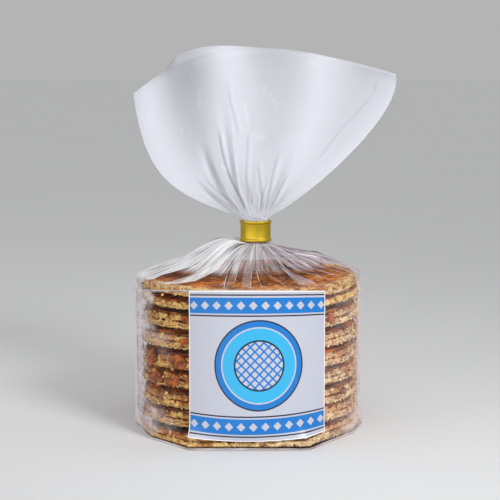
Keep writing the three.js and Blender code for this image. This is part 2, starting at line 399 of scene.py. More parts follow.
# %% Folds over the shoulder
# Each fold is (its crest as (how far in, angle) pairs, its height, how strong the painted highlight on
# its crest and the painted shade on its flank are, and how milky the film is from it to the next one,
# near the rim, half way and near the neck).
FRONT_FOLDS = [
    ([(0, -90), (1, -90)], 0.3, 0.5, (0.45, 0.85, 0.85)),
    ([(0, -80), (0.5, -75), (1, -72)], 0.3, 0.6, (0.45, 0.85, 0.8)),
    ([(0, -66), (0.02, -62), (0.12, -60), (0.21, -54.6), (0.33, -49), (0.6, -45), (1, -44)],
     0.7, 0.9, (0.005, 0.75, 0.7)),
    ([(0, -56), (0.04, -47), (0.08, -41.5), (0.18, -37.1), (0.29, -35.5), (0.38, -32.6), (1, -31)],
     0.6, 0.9, (0.40, 0.60, 0.6)),
    ([(0, -49), (0.02, -44), (0.06, -38), (0.11, -31.5), (0.22, -27.6), (0.32, -24), (0.43, -22), (1, -24)],
     0.3, 0.5, (0.003, 0.30, 0.5)),
    ([(0, -11.5), (0.2, -13.8), (0.4, -15.3), (1, -18)], 0.7, 0.95, (0.04, 0.35, 0.5)),
    ([(0, -7), (0.3, -8.5), (1, -12)], 0.3, 0.4, (0.0, 0.16, 0.3)),
    ([(0, -3), (1, -5)], 0.5, 0.7, (0.1, 0.3, 0.5)),
    ([(0, 1.6), (1, 0)], 0.5, 0.7, (0.0, 0.14, 0.3)),
    ([(0, 7.5), (0.22, 5.1), (0.46, 3.8), (1, 4)], 0.5, 0.8, (0.0, 0.2, 0.4)),
    ([(0, 20), (0.07, 18.2), (0.2, 12.7), (0.34, 9), (0.6, 8), (1, 8)], 0.5, 0.9, (0.0, 0.1, 0.4)),
    ([(0, 24), (0.3, 16), (0.6, 13), (1, 12)], 0.3, 0.3, (0.0, 0.2, 0.4)),
    ([(0, 28), (0.09, 25.9), (0.24, 24.5), (0.43, 22), (1, 16)], 0.6, 0.9, (0.3, 0.25, 0.4)),
    ([(0, 38), (0.1, 34), (0.25, 28.5), (0.44, 25), (1, 18)], 0.3, 0.4, (0.0, 0.25, 0.4)),
    ([(0, 48), (0.1, 46), (0.15, 43), (0.25, 33), (0.44, 28), (1, 20)], 0.5, 0.8, (0.0, 0.45, 0.5)),
    ([(0, 55), (0.1, 52), (0.2, 44), (0.4, 34), (1, 26)], 0.35, 0.6, (0.0, 0.45, 0.5)),
    ([(0, 62), (0.07, 57.8), (0.17, 51), (0.38, 43), (1, 33)], 0.5, 0.9, (0.0, 0.5, 0.5)),
    ([(0, 69), (0.1, 65), (0.25, 56), (0.5, 47), (1, 41)], 0.3, 0.6, (0.0, 0.5, 0.5)),
    ([(0, 76), (0.1, 73), (0.3, 65), (0.6, 57), (1, 50)], 0.3, 0.6, (0.0, 0.5, 0.5)),
    ([(0, 84), (0.1, 82), (0.3, 77), (0.6, 70), (1, 62)], 0.5, 0.9, (0.3, 0.5, 0.5)),
    ([(0, 94), (1, 90)], 0.3, 0.6, (0.4, 0.5, 0.5)),
]
BACK_FOLD_COUNT = 15
BACK_START = 94
BACK_SPAN = 172
MILKY_FROM = 215  # the far left is as milky at the back as in front
draw = random.Random(11)


def back_fold(k):
    middle = BACK_START + BACK_SPAN * (k + 1) / (BACK_FOLD_COUNT + 1)
    at_rim = middle + draw.uniform(-4, 4)
    bend = (draw.uniform(0.2, 0.4), middle + draw.uniform(-5, 5))
    fill = (draw.choice((0.01, 0.03, 0.25)), draw.uniform(0.05, 0.35), draw.uniform(0.3, 0.45))
    if middle > MILKY_FROM:
        fill = (0.45, 0.8, 0.8)
    return [(0, at_rim), bend, (1, middle)], draw.uniform(0.25, 0.7), draw.uniform(0.4, 0.9), fill


FOLDS = FRONT_FOLDS + [back_fold(k) for k in range(BACK_FOLD_COUNT)]
print(len(FRONT_FOLDS), "folds in front and at the sides,", BACK_FOLD_COUNT, "at the back")

# %% The sheet's columns
COLUMN_WIDTH = 1.0  # degrees
CREST_WIDTH = 0.35


def crests_at(t):
    """The angle of each crest, and of the first one again after a full turn."""
    angles = [float(np.interp(t, *zip(*run))) for run, *_ in FOLDS]
    return angles + [angles[0] + 360]


FOLD_WIDTHS = np.mean([np.diff(crests_at(t)) for t in (0, 0.25, 0.5, 1)], axis=0).tolist()
CREST_SHARES = [CREST_WIDTH / width for width in FOLD_WIDTHS]


def columns_over_folds():
    """Each column is (which fold it follows, its share of the way to the next)."""
    columns = []
    for k, (width, crest) in enumerate(zip(FOLD_WIDTHS, CREST_SHARES)):
        count = max(round(width / COLUMN_WIDTH), 2)
        columns += [(k, 0)] + [(k, mix(crest, 1 - crest, j / count)) for j in range(count + 1)]
    return columns + [(len(FOLDS) - 1, 1)]


FILM_COLUMNS = columns_over_folds()
print(len(FILM_COLUMNS) - 1, "columns")

# %% The shoulder and the neck
NECK_GATHERS = 22
GATHER_DEPTH = 0.3  # of the neck's radius


def gather_at(degrees):
    """0 on the crest of a gather and 1 in the valley between two."""
    phase = (degrees + 6 * sideways(3 * degrees)) * NECK_GATHERS / 360
    return abs(2 * (phase - math.floor(phase)) - 1)


def fold_height(k, share):
    before, after = FOLDS[k][1], FOLDS[(k + 1) % len(FOLDS)][1]
    return before * max(1 - share / 0.4, 0) + after * max(1 - (1 - share) / 0.25, 0) - 0.3


def shoulder_point(degrees, t, column):
    side = sideways(degrees)
    rim = rim_height(degrees)
    dome = mix(0.3, 0.5, (side + 1) / 2) * t * (1 - t)
    puff = PUFF_HEIGHT * bump(t, 0.32, 0.78, 1) * ease(-side, 0.1, 0.8)
    sink = SINK_DEPTH * bump(t, 0.35, 0.75, 1) * ease(side, 0.1, 0.8)
    fold = fold_height(*column) * plateau(t, 0, 0.14, 0.8, 1)
    rumple = 0.5 * noise_at(degrees / 5, t * 6, 1) * bump(t, 0.05, 0.5, 1)
    z = rim + (NECK_BOTTOM - rim) * (t + dome) + puff - sink + fold + rumple
    gather = 1 - GATHER_DEPTH * ease(t, 0.8, 1) * gather_at(degrees)
    radius_x = mix(FILM_RADIUS - RIM_INSET, NECK_HALF_WIDTH, t) * gather
    radius_y = mix(FILM_RADIUS - RIM_INSET, NECK_HALF_DEPTH, t) * gather
    return polar(mix(FILM_CENTRE_X, NECK_X, t), radius_x, radius_y, degrees, z)


def neck_point(degrees, t):
    gather = 1 - GATHER_DEPTH * gather_at(degrees)
    z = mix(NECK_BOTTOM, NECK_TOP, t)
    return polar(NECK_X, NECK_HALF_WIDTH * gather, NECK_HALF_DEPTH * gather, degrees, z)


print("shoulder from", FILM_RADIUS - RIM_INSET, "to", NECK_HALF_WIDTH, "mm")

# %% [markdown]
# ## The fan
#
# Above the clip the tube is flat again: a front layer and a back layer that meet at two side folds and
# part at the lip, which stays open. Seen from the front its outline is a patch between four curves:
# the neck, the two side folds and the lip. The lip is longer than it looks from the front, because it
# waves to the front and to the back. Gathers run up out of the clip, and some end in a long crease.

# %% The fan's outline
def bezier(p0, p1, p2, p3, t):
    u = 1 - t
    return p0 * u ** 3 + p1 * (3 * u * u * t) + p2 * (3 * u * t * t) + p3 * t ** 3


def lip_point(s, at_back):
    degrees = mix(FAN_LEFT, FAN_RIGHT, s)
    corner = 1.4 * max(degrees / FAN_LEFT, 0) ** 2 + 9.7 * max(degrees / FAN_RIGHT, 0) ** 2.6
    rise = 3.3 * plateau(degrees, -32, -25, -22, 4) if at_back else 0
    angle = math.radians(degrees)
    return FAN_CENTRE + (FAN_RADIUS + corner + rise) * Vector((math.sin(angle), math.cos(angle)))


NECK_LEFT = Vector((NECK_X - NECK_HALF_WIDTH, NECK_TOP))
NECK_RIGHT = Vector((NECK_X + NECK_HALF_WIDTH, NECK_TOP))
LEFT_FOLD = (NECK_LEFT, Vector((-26, 85)), Vector((-38, 87.6)), lip_point(0, False))
RIGHT_FOLD = (NECK_RIGHT, Vector((27, 88)), Vector((56, 116)), lip_point(1, False))


def fan_outline(v, s, at_back):
    neck = NECK_LEFT.lerp(NECK_RIGHT, (1 - math.cos(math.pi * s)) / 2)
    along = neck.lerp(lip_point(s, at_back), v)
    between = bezier(*LEFT_FOLD, v).lerp(bezier(*RIGHT_FOLD, v), s)
    neck_chord = NECK_LEFT.lerp(NECK_RIGHT, s)
    lip_chord = lip_point(0, False).lerp(lip_point(1, False), s)
    return along + between - neck_chord.lerp(lip_chord, v)


print("fan", round(lip_point(1, False).x - lip_point(0, False).x, 1), "mm from corner to corner")

# %% The fan's folds
# Each crease is (place across, half its width, depth, how far up it reaches).
FRONT_CREASES = [
    (0.24, 0.03, 2.6, 0.66), (0.355, 0.028, 2.0, 0.92), (0.43, 0.03, 1.5, 0.62),
    (0.51, 0.035, 1.8, 0.45), (0.6, 0.03, 1.3, 0.34), (0.71, 0.035, 2.0, 0.52),
    (0.82, 0.03, 1.2, 0.35), (0.12, 0.03, 1.4, 0.38),
]
BACK_CREASES = [
    (0.14, 0.03, 1.6, 0.5), (0.3, 0.035, 2.2, 0.7), (0.46, 0.03, 1.5, 0.5),
    (0.58, 0.03, 2.0, 0.8), (0.7, 0.035, 1.4, 0.45), (0.86, 0.03, 1.6, 0.55),
]
FAN_WAVES = 1.5
FAN_WAVE_DEPTH = 12
FAN_WAVE_START = 0.9  # radians
FAN_HALF_GAP = 4.2  # between the layers, where the fan stands open most
LIP_HALF_GAP = 2.2


def creases_at(creases, v, s):
    total = 0.0
    for at, half_width, depth, reach in creases:
        off = abs(s - at) / half_width
        if off < 1:
            total += depth * (1 - off) * plateau(v, 0, 0.12, 0.35 * reach, reach)
    return total


def fan_point(degrees, v):
    at_back = degrees > 90
    s = (270 - degrees) / 180 if at_back else (degrees + 90) / 180
    outline = fan_outline(v, s, at_back)
    wave = FAN_WAVE_DEPTH * v ** 1.3 * math.sin(2 * math.pi * FAN_WAVES * s + FAN_WAVE_START)
    middle = math.sin(math.pi * s)
    belly = mix(NECK_HALF_DEPTH, FAN_HALF_GAP, ease(v, 0, 0.3))
    half_gap = mix(belly, LIP_HALF_GAP, ease(v, 0.5, 1)) * middle
    gather = 1 - GATHER_DEPTH * (1 - ease(v, 0, 0.08)) * gather_at(degrees)
    side = 1 if at_back else -1
    dent = 0.35 * noise_at(9 * s, 6 * v, 5 * side) * ease(v, 0.1, 0.5) * middle
    crease = creases_at(BACK_CREASES if at_back else FRONT_CREASES, v, s)
    flutter = 0.9 * (gather_at(degrees) - 0.5) * bump(v, 0, 0.06, 0.28) * middle
    y = wave + side * (half_gap * gather - crease + dent + flutter)
    x = NECK_X + (outline.x - NECK_X) * mix(gather, 1, ease(v, 0, 0.1))
    return Vector((x, y, outline.y))


print("middle of the lip", round(fan_point(0, 1).z, 1), "mm high")

# %% [markdown]
# ## Rolling the film
#
# The sheet is a grid. Its columns follow the folds, and its rows are stations along the tube. Its
# first row shrinks to a point under the pile and its two sides meet, so merging by distance closes
# both. Then the film gets its thickness inwards, so that its outer face stays put.
#
# How milky and how dark the film looks is kept on each vertex. It is clear where it lies tight on the
# waffles, and milky where it is gathered or loose, and in the fan, where light catches it from all
# sides. Painted shade darkens it along one flank of each fold, in sharp creases and, as a painted
# contact shadow, where the wall meets the table. Painted highlights whiten its crests and a few marks.

# %% The rows of the sheet
def evenly(count, power=1.0, first=1):
    return [(k / count) ** power for k in range(first, count + 1)]


ROWS_OF_EACH = [
    (foot_point, evenly(3, 0.5, first=0)[:-1] + [0.985, 1]),
    (low_wall_point, [0.007, 0.015, 0.026] + evenly(16)[:-1] + [0.98, 0.992, 1]),
    (high_wall_point, [0.05, 0.16, 0.5, 1]),
    (turn_point, evenly(3)),
    (shoulder_point, evenly(32, 0.9)),
    (neck_point, evenly(5)),
    (fan_point, evenly(42, 1.2)),
]
FILM_ROWS = [(place, t) for place, stations in ROWS_OF_EACH for t in stations]
print(len(FILM_ROWS), "rows")

# %% Short creases, crushed places and painted highlights
# Each is (angle, how far in) of both ends, half its width in millimetres, and how milky it is.
MARKS = [
    ((-32.5, 0.1), (-21.6, 0.11), 0.4, 0.5), ((-21.6, 0.11), (-12.7, 0.08), 0.2, 0.25),
    ((-56.6, 0.44), (-55.8, 0.28), 0.5, 0.9), ((-60, 0.36), (-52, 0.34), 0.4, 0.7),
    ((10, 0.93), (60, 0.93), 1.3, 0.9), ((71, 0.66), (75, 0.44), 2.6, 1.2),
    ((30, 0.06), (46, 0.13), 0.35, 0.4), ((-60, 0.03), (-44, 0.03), 0.4, 0.5),
]


def marks_at(marks, degrees, t, round_it, along_it):
    """How milky the marks make the film at a point, given the film's size there in millimetres."""
    def flat(angle, far_in):
        return Vector((math.radians(angle) * round_it, far_in * along_it))

    most = 0.0
    here = flat(degrees, t)
    for start, end, half_width, strength in marks:
        a, b = flat(*start), flat(*end)
        along = clamp((here - a).dot(b - a) / (b - a).length_squared)
        off = (here - a.lerp(b, along)).length
        most = max(most, strength * (1 - ease(off, 0, half_width)))
    return most


# %% The fan's sharp creases and painted glints
# Each crease of its front is its (angle, how far up) points and how clear it is, with painted shade.
# Glints are painted highlights, given like marks.
FAN_LINES = [
    ([(-16, 0.6), (-18, 0.69), (-20, 0.78), (-21, 0.89)], 0.16),
    ([(-22, 0.1), (-23, 0.18), (-27, 0.28), (-30, 0.4), (-31, 0.54), (-31, 0.68)], 0.36),
    ([(-4, 0.12), (-10, 0.31), (-9, 0.44), (-8, 0.62)], 0.17),
    ([(18, 0.08), (15, 0.18), (9, 0.25), (1, 0.43)], 0.18),
    ([(30, 0.08), (26, 0.18), (22, 0.33), (21, 0.48)], 0.2),
    ([(46, 0.08), (41, 0.22), (40, 0.35)], 0.16),
    ([(-40, 0.1), (-51, 0.23), (-58, 0.4)], 0.18),
    ([(-55, 0.1), (-62, 0.25), (-66, 0.45)], 0.15),
    ([(65, 0.42), (68, 0.59), (73, 0.68), (78, 0.8), (80, 0.95)], 0.14),
]
FAN_GLINTS = [
    ((-43, 0.79), (-41, 0.86), 1.1, 0.7), ((-8, 0.65), (-10, 0.76), 1.1, 0.6),
    ((4, 0.8), (8, 0.78), 1.0, 0.8), ((8, 0.78), (13, 0.72), 1.2, 0.9),
    ((-4, 0.58), (5, 0.56), 1.2, 0.8), ((27, 0.9), (40, 0.95), 1.4, 0.6),
    ((-34, 0.44), (-31, 0.4), 1.0, 0.8), ((-60, 0.72), (-54, 0.7), 0.9, 0.5),
]
FAN_TALL = 64
CREASE_HALF_WIDTH = 0.6
EDGE_WIDTH = 0.6
LEAST_MILK = 0.03
MOST_MILK = 0.95


def fan_scale(v):
    """Millimetres to a degree, across the fan."""
    return mix(0.1, 0.55, v)


def fan_line(degrees, v, near, far):
    """How strong the creases of the fan's front are between two distances to their right."""
    most = 0.0
    for path, strength in FAN_LINES if degrees < 90 else []:
        crease = float(np.interp(v, [far_up for _, far_up in path], [at for at, _ in path]))
        first, last = path[0][1], path[-1][1]
        inside = plateau(v, first - 0.02, first + 0.02, last - 0.08, last)
        off = (degrees - crease) * fan_scale(v)
        most = max(most, strength * inside * bump(off, near, (near + far) / 2, far))
    return most


def crease_at(degrees, v):
    return fan_line(degrees, v, -CREASE_HALF_WIDTH, CREASE_HALF_WIDTH)


# %% How milky the fan is
def fan_milk(degrees, v):
    """The fan is evenly milky, with bright edges and painted glints. It is clear along its sharp creases.
    """
    gathered = 0.35 * noise_at(degrees / 3, v * 2, 4) * (1 - ease(v, 0.1, 0.35))
    # Painted light: less milk in the middle and more on the left even out the light across the fan.
    painted_light_evening = (0.12 * bump(degrees, -50, 0, 60) - 0.2 * bump(degrees, -88, -66, -40)) * ease(v, 0.2, 0.5)
    milk = mix(0.36, 0.68, ease(v, 0.05, 0.5)) * (1 + gathered) * (1 - painted_light_evening)
    rim = MOST_MILK * max(1 - (1 - v) / 0.012, 0, 1 - abs(abs(degrees) - 90) * fan_scale(v) / EDGE_WIDTH)
    # Painted shade: each sharp crease is made clear, with a painted highlight just to its right.
    milk += 0.35 * fan_line(degrees, v, 0.5, 2.0) - crease_at(degrees, v)
    if degrees < 90:
        # Painted highlights: short white strokes on the fan.
        milk += marks_at(FAN_GLINTS, degrees, v, mix(8, 34, v), FAN_TALL) * 0.3
    return clamp(max(milk, rim), LEAST_MILK, MOST_MILK)


# %% Loose places and painted reflection on the wall
# Each is (angle, height, half its width in degrees, half its height in millimetres, how milky it is).
WALL_PATCHES = [
    (-61, 50, 9, 4, 0.5), (-66, 40, 16, 5, 0.32), (-84, 28, 28, 60, 0.27), (-70, 17, 12, 6, 0.34),
    (-56, 11.5, 16, 2.4, 0.34), (-64, 5, 18, 5, 0.38), (-45, 32.5, 9, 2, 0.18),
    (-47, 18.5, 12, 1.6, 0.16), (-50, 38, 12, 2, 0.18), (-44, 5.5, 14, 2, 0.2), (67, 4, 13, 5, 0.24),
    (80, 30, 12, 60, 0.12), (110, 14, 16, 5, 0.16), (150, 44, 14, 6, 0.16), (-140, 30, 20, 9, 0.2),
]


def half_turn(degrees):
    """The same angle between -180 and 180."""
    return (degrees + 180) % 360 - 180


def wall_patches_at(degrees, z):
    turned = half_turn(degrees)
    ragged = 1 + 0.9 * noise_at(turned / 4, z / 2.2, 6)
    most = 0.0
    for middle, height, half_width, half_height, strength in WALL_PATCHES:
        off = math.hypot((turned - middle) / half_width, (z - height) / half_height)
        most = max(most, strength * (1 - ease(off, 0.4, 1.1)) * ragged)
    return most


# %% The film's painted shade
FOOT_LINE = (0.01, 0.02)  # the part of the low wall with the foot's painted contact shadow
LEFT_LINE = (-83, -77, -70)  # where the painted shade inside the left edge starts, peaks and ends


def wall_shade(degrees, t):
    """Painted shade: a contact shadow where the wall meets the table, and a line inside the left edge."""
    start, end = FOOT_LINE
    if t < end:
        return 1 - 0.6 * ease(sideways(degrees), 0.5, 0.8) if t > start else 0
    return 0.8 * bump(degrees, *LEFT_LINE) * clamp(0.5 + noise_at(0, t * 9, 15))


def streaky_shade(degrees, t):
    """Near the neck the film lies in many layers, and long streaks of it get painted shade."""
    streak = 0.4 + 1.4 * noise_at(degrees / 2.4, t * 1.6, 12)
    return mix(0.35, 0.9, ease(sideways(degrees), 0.1, 0.6)) * ease(t, 0.22, 0.42) * clamp(streak)


def fold_shade(place, degrees, t, column):
    """Painted shade on one flank of each fold, which turns away from the light, and in sharp creases."""
    if place is fan_point:
        return min(1.3 * crease_at(degrees, t), 0.7)
    if place is low_wall_point:
        return wall_shade(degrees, t)
    if place is not shoulder_point:
        return 0
    k, share = column
    if not 0 < share <= CREST_SHARES[k] * 1.01:
        return streaky_shade(degrees, t)
    return FOLDS[k][2] * ease(t, 0, 0.1) * (0.6 + 0.8 * noise_at(k * 3.3, t * 4, 2))


# %% How milky the film looks
EVEN_MILK = {foot_point: 0.05, neck_point: 0.5}


def wall_milk(place, degrees, t):
    """Nearly none but along the crease, at the foot and in loose places, some of them a painted reflection.
    """
    side = sideways(degrees)
    is_low = place is low_wall_point
    near = t - 1 if is_low else t
    line = mix(0.6, 0.12, ease(side, 0, 0.5)) * (1 - ease(abs(near), 0, 0.012 if near < 0 else 0.1))
    uneven = 0.8 + 0.5 * noise_at(degrees / 12, 0, 9)
    foot = mix(0.95, 0.75, ease(side, -0.8, 0)) * uneven * (is_low and t < FOOT_LINE[0])
    # Painted reflection: the milky patches at the left partly stand for light reflected in the film.
    loose = wall_patches_at(degrees, place(degrees, t).z)
    return 0.003 + (0.07 if near < 0 else 0.03) * ease(side, 0.5, 0.85) + loose + line + foot


def shoulder_milk(degrees, t, column):
    """As each fold's own numbers say, in streaks, with painted highlights on its crests and in some marks.
    """
    k, share = column
    _, _, line, fill = FOLDS[k]
    milk = float(np.interp(t, (0, 0.24, 0.36, 0.8), (fill[0], fill[0], fill[1], fill[2])))
    # Where painted shade darkens the film, it is less milky too.
    milk *= 1 - 0.7 * fold_shade(shoulder_point, degrees, t, column)
    streak = noise_at(degrees / 3.2, t * 2.5, 0)
    fine = noise_at(degrees / 1.7, t * 1.8, 8)
    milk *= max(1 + streak + 1.6 * fine * ease(t, 0.1, 0.4), 0.05)
    # Painted highlights: each crest is whitened in broken bits.
    sparkle = 0.5 + 1.5 * noise_at(k * 7.1, t * 6, 0)
    crest = line * clamp(sparkle, 0.1) * ease(t, -0.05, 0.05) if share in (0, 1) else 0
    round_it = mix(FILM_RADIUS, NECK_HALF_WIDTH, t)
    mark = marks_at(MARKS, half_turn(degrees), t, round_it, FILM_RADIUS)
    return min(max(milk, crest, mark), MOST_MILK)


def milkiness(place, degrees, t, column):
    if place in (low_wall_point, high_wall_point):
        return wall_milk(place, degrees, t)
    if place is turn_point:
        return 0.03 + 0.1 * max(noise_at(degrees / 3.2, t * 2.5, 0), 0)
    if place is shoulder_point:
        return shoulder_milk(degrees, t, column)
    if place is fan_point:
        return fan_milk(degrees, t)
    return EVEN_MILK[place]


# %% Rolling and welding
MERGE_DISTANCE = 0.004
deselect()
bpy.ops.mesh.primitive_grid_add(
    x_subdivisions=len(FILM_COLUMNS) - 1, y_subdivisions=len(FILM_ROWS) - 1, size=1)
film = named("film")
places, haze, shade, sheet = [], [], [], []
for row, (place, t) in enumerate(FILM_ROWS):
    reach = {shoulder_point: t, neck_point: 1, fan_point: 1}.get(place, 0)
    crests = crests_at(reach)
    for k, share in FILM_COLUMNS:
        degrees = mix(crests[k], crests[k + 1], share)
        point = place(degrees, t, (k, share)) if place is shoulder_point else place(degrees, t)
        places.append(point * MM)
        haze.append(milkiness(place, degrees, t, (k, share)))
        shade.append(fold_shade(place, degrees, t, (k, share)))
        sheet.append(polar(0, 1, 1, degrees, row / len(FILM_ROWS)))
set_points(film, places)
add_values(film, "haze", haze)
add_values(film, "shade", shade)
layer = film.data.attributes.new("sheet", "FLOAT_VECTOR", "POINT")
layer.data.foreach_set("vector", np.array(sheet).ravel())

with editing(film):
    bpy.ops.mesh.remove_doubles(threshold=MERGE_DISTANCE * MM)
    face_outwards()
apply_modifier(film, "SOLIDIFY", thickness=FILM_THICKNESS * MM, offset=-1)
print("film:", len(film.data.polygons), "faces")

# %% [markdown]
# ## Materials
#
# Each finish is a coat that is built up from nodes. Its methods add, set and link a node in one line,
# and take up the patterns that several finishes share. Numbers that are the same all over a surface
# are set on the shader itself.

# %% A coat
class Coat:
    """A finish, which is built up node by node and then put on."""

    def __init__(self, name):
        self.material = bpy.data.materials.new(name)
        self.material.use_nodes = True
        self.material.node_tree.nodes.clear()
        self.place = self.add("TexCoord").outputs["Object"]

    def add(self, kind, sockets=None, **settings):
        tree = self.material.node_tree
        made = tree.nodes.new("ShaderNode" + kind)
        for key, value in settings.items():
            setattr(made, key, value)
        for socket, value in (sockets or {}).items():
            if isinstance(value, bpy.types.NodeSocket):
                tree.links.new(value, made.inputs[socket])
            else:
                made.inputs[socket].default_value = value
        return made

    def calc(self, operation, a, b=0.0, c=0.0):
        return self.add("Math", {0: a, 1: b, 2: c}, operation=operation).outputs[0]

    def blend(self, share, first, second):
        return self.add("Mix", {0: share, 6: first, 7: second}, data_type="RGBA").outputs[2]

    def spread(self, value, low, high, new_low=0.0, new_high=1.0):
        sockets = {"Value": value, "From Min": low, "From Max": high, "To Min": new_low, "To Max": new_high}
        return self.add("MapRange", sockets, interpolation_type="SMOOTHSTEP").outputs[0]

    def kept(self, name):
        """The number that each vertex keeps under a name."""
        return self.add("Attribute", attribute_name=name).outputs["Fac"]

    def axes(self, vector):
        return self.add("SeparateXYZ", {0: vector}).outputs

    def stretched(self, vector, scale):
        return self.add("Mapping", {"Vector": vector, "Scale": scale}).outputs[0]

    def clouds(self, scale, detail, place=None):
        sockets = {"Vector": place or self.place, "Scale": scale, "Detail": detail}
        return self.add("TexNoise", sockets).outputs[0]

    def relief(self, height, strength, distance, **normal):
        sockets = {"Height": height, "Strength": strength, "Distance": distance, **normal}
        return self.add("Bump", sockets).outputs[0]

    def finished(self, shader):
        self.material.node_tree.links.new(shader.outputs[0], self.add("OutputMaterial").inputs["Surface"])
        return self.material

    def opaque(self, colour, roughness, **more):
        """One shader for a surface that can't be seen through. Underscores stand for spaces."""
        sockets = {"Base Color": colour, "Roughness": roughness}
        sockets.update({key.replace("_", " "): value for key, value in more.items()})
        return self.finished(self.add("BsdfPrincipled", sockets))


# %% Screen colours
def rgb(red, green, blue):
    """A colour given as on a screen, 0 to 255."""
    def linear(level):
        level /= 255
        return level / 12.92 if level <= 0.04045 else ((level + 0.055) / 1.055) ** 2.4
    return (linear(red), linear(green), linear(blue), 1)


# %% The table's finish
table = Coat("pale_table")
table_grey = table.blend(table.clouds(6, 2), rgb(226, 227, 228), rgb(231, 231, 232))
floor.data.materials.append(table.opaque(table_grey, 1.0))
print("floor in", floor.data.materials[0].name)

# %% [markdown]
# ## Clear film
#
# Thin film is clear, mirrors at a glancing angle, and turns milky where it is creased or sees light
# from behind. Glass would bend the view and make black edges, so the film mixes three plain things:
# see-through, a white that shines through from both sides, and a gloss that grows towards the edges.

# %% The film's direction and whiteness
RIM_FROM = (0.053, 0.058)  # heights between which the wall's look goes over to the shoulder's
FAN_FROM = (0.066, 0.08)  # and the shoulder's to the fan's
RIGHT_FROM = (-0.01, 0.02)


def film_normal(coat, height, in_fan):
    """Light that goes through both layers of the fan and back evens out its waves."""
    normal = coat.add("NewGeometry").outputs["Normal"]
    part = coat.spread(height, 0.082, 0.105, 0.25, 0.07)
    part = coat.add("CombineXYZ", {0: part, 1: 1.0, 2: part}).outputs[0]
    evened = coat.add("VectorMath", {0: normal, 1: part}, operation="MULTIPLY").outputs[0]
    normal = coat.add("Mix", {0: in_fan, 4: normal, 5: evened}, data_type="VECTOR").outputs[1]
    return coat.add("VectorMath", {0: normal}, operation="NORMALIZE").outputs[0]


def glancing(coat, normal):
    """0 where the surface is seen straight on, and 1 where it is seen from the side."""
    return coat.add("LayerWeight", {"Blend": 0.5, "Normal": normal}).outputs["Facing"]


def whiteness(coat, above_rim, right, glance, smooth_glance):
    """The kept haze, crumpled on the wall, and more of it at a glancing angle and at the outline."""
    crumple = coat.clouds(1, 3, coat.stretched(coat.place, (90, 90, 300)))
    crumple = coat.spread(crumple, 0.35, 0.68, 0.45, 1.3)
    firm = coat.calc("MAXIMUM", above_rim, coat.spread(coat.kept("haze"), 0.5, 0.8))
    haze = coat.calc("MULTIPLY", coat.kept("haze"), coat.spread(firm, 0, 1, crumple, 1))
    milk = coat.calc("MULTIPLY", haze, coat.spread(glance, 0.3, 1, 1, 1.4))
    # Painted sheen: the outline is whiter on the left than on the right.
    edge = coat.spread(smooth_glance, 0.74, 0.93, 0, coat.calc("MULTIPLY_ADD", right, -0.55, 0.93))
    return coat.calc("MINIMUM", coat.calc("ADD", milk, edge), MOST_MILK)


def film_tint(coat, above_rim, in_fan, right):
    """A cool white in the fan and on the left, a warmer one where brown shines through, and painted shade.
    """
    wall_tint = coat.blend(right, (0.95, 0.92, 0.97, 1), (0.96, 0.84, 0.82, 1))
    # Painted shade: the milky film on the shoulder's right is a dark grey.
    shoulder_tint = coat.blend(right, (0.94, 0.97, 1, 1), (0.66, 0.60, 0.65, 1))
    tint = coat.blend(above_rim, wall_tint, shoulder_tint)
    tint = coat.blend(coat.spread(coat.kept("haze"), 0.6, 0.9), tint, (0.9, 0.9, 0.92, 1))
    return coat.blend(in_fan, tint, (0.92, 0.93, 0.97, 1))


# %% The film's finish
def film_material():
    coat = Coat("clear_film")
    axes = coat.axes(coat.place)
    above_rim = coat.spread(axes["Z"], *RIM_FROM)
    in_fan = coat.spread(axes["Z"], *FAN_FROM)
    right = coat.spread(axes["X"], *RIGHT_FROM)
    normal = film_normal(coat, axes["Z"], in_fan)
    on_sheet = coat.add("Attribute", attribute_name="sheet").outputs["Vector"]
    wrinkle = coat.clouds(1, 2, coat.stretched(on_sheet, (30, 30, 10)))
    wrinkled = coat.relief(wrinkle, 0.12, 0.0005, Normal=normal)
    glance = glancing(coat, wrinkled)
    milk = whiteness(coat, above_rim, right, glance, glancing(coat, normal))
    white = {"Color": film_tint(coat, above_rim, in_fan, right), "Normal": wrinkled}
    # Painted shade: the kept shade tints the clear film dark in folds, creases and along the foot.
    dark = coat.blend(coat.kept("shade"), (0.985, 0.985, 0.99, 1), (0.36, 0.31, 0.34, 1))
    rough = coat.calc("MULTIPLY_ADD", coat.kept("haze"), 0.6, 0.08)
    mirror = coat.calc("MULTIPLY_ADD", coat.calc("POWER", glance, 7), 0.3, 0.005)

    def mixed(share, first, second):
        return coat.add("MixShader", {0: share, 1: first.outputs[0], 2: second.outputs[0]})

    back_and_through = coat.spread(in_fan, 0, 1, 0.25, 0.5)
    milky = mixed(back_and_through, coat.add("BsdfDiffuse", white), coat.add("BsdfTranslucent", white))
    body = mixed(milk, coat.add("BsdfTransparent", {"Color": dark}), milky)
    gloss = coat.add("BsdfGlossy", {"Roughness": rough, "Normal": wrinkled})
    return coat.finished(mixed(mirror, body, gloss))


hand_over(film, ["bag", "waffles"], film_material())

# %% [markdown]
# ## One wafer
#
# A syrup waffle is a thin waffle split in two, with syrup between the halves. Each half is a disc
# with a crumbly cut edge and browned faces. A disc is quickest from a cylinder without ends: rows are
# cut into its side, each rim is turned in and closed, and the corners are bevelled: the outer one is
# well rounded, and the one at the syrup hardly at all.

# %% The wafer's sizes
WAFER_RADIUS = 40.4
WAFER_THICKNESS = 2.55
WAFER_STEPS = 520
SYRUP_THICKNESS = 0.3
OUTER_ROUNDING = 1.0
INNER_ROUNDING = 0.15
FACE_INSET = 0.975
TOLERANCE = 1e-6
# How high the middles of a waffle's two halves lie in it.
HALF_MIDDLES = (WAFER_THICKNESS / 2, WAFER_THICKNESS * 1.5 + SYRUP_THICKNESS)

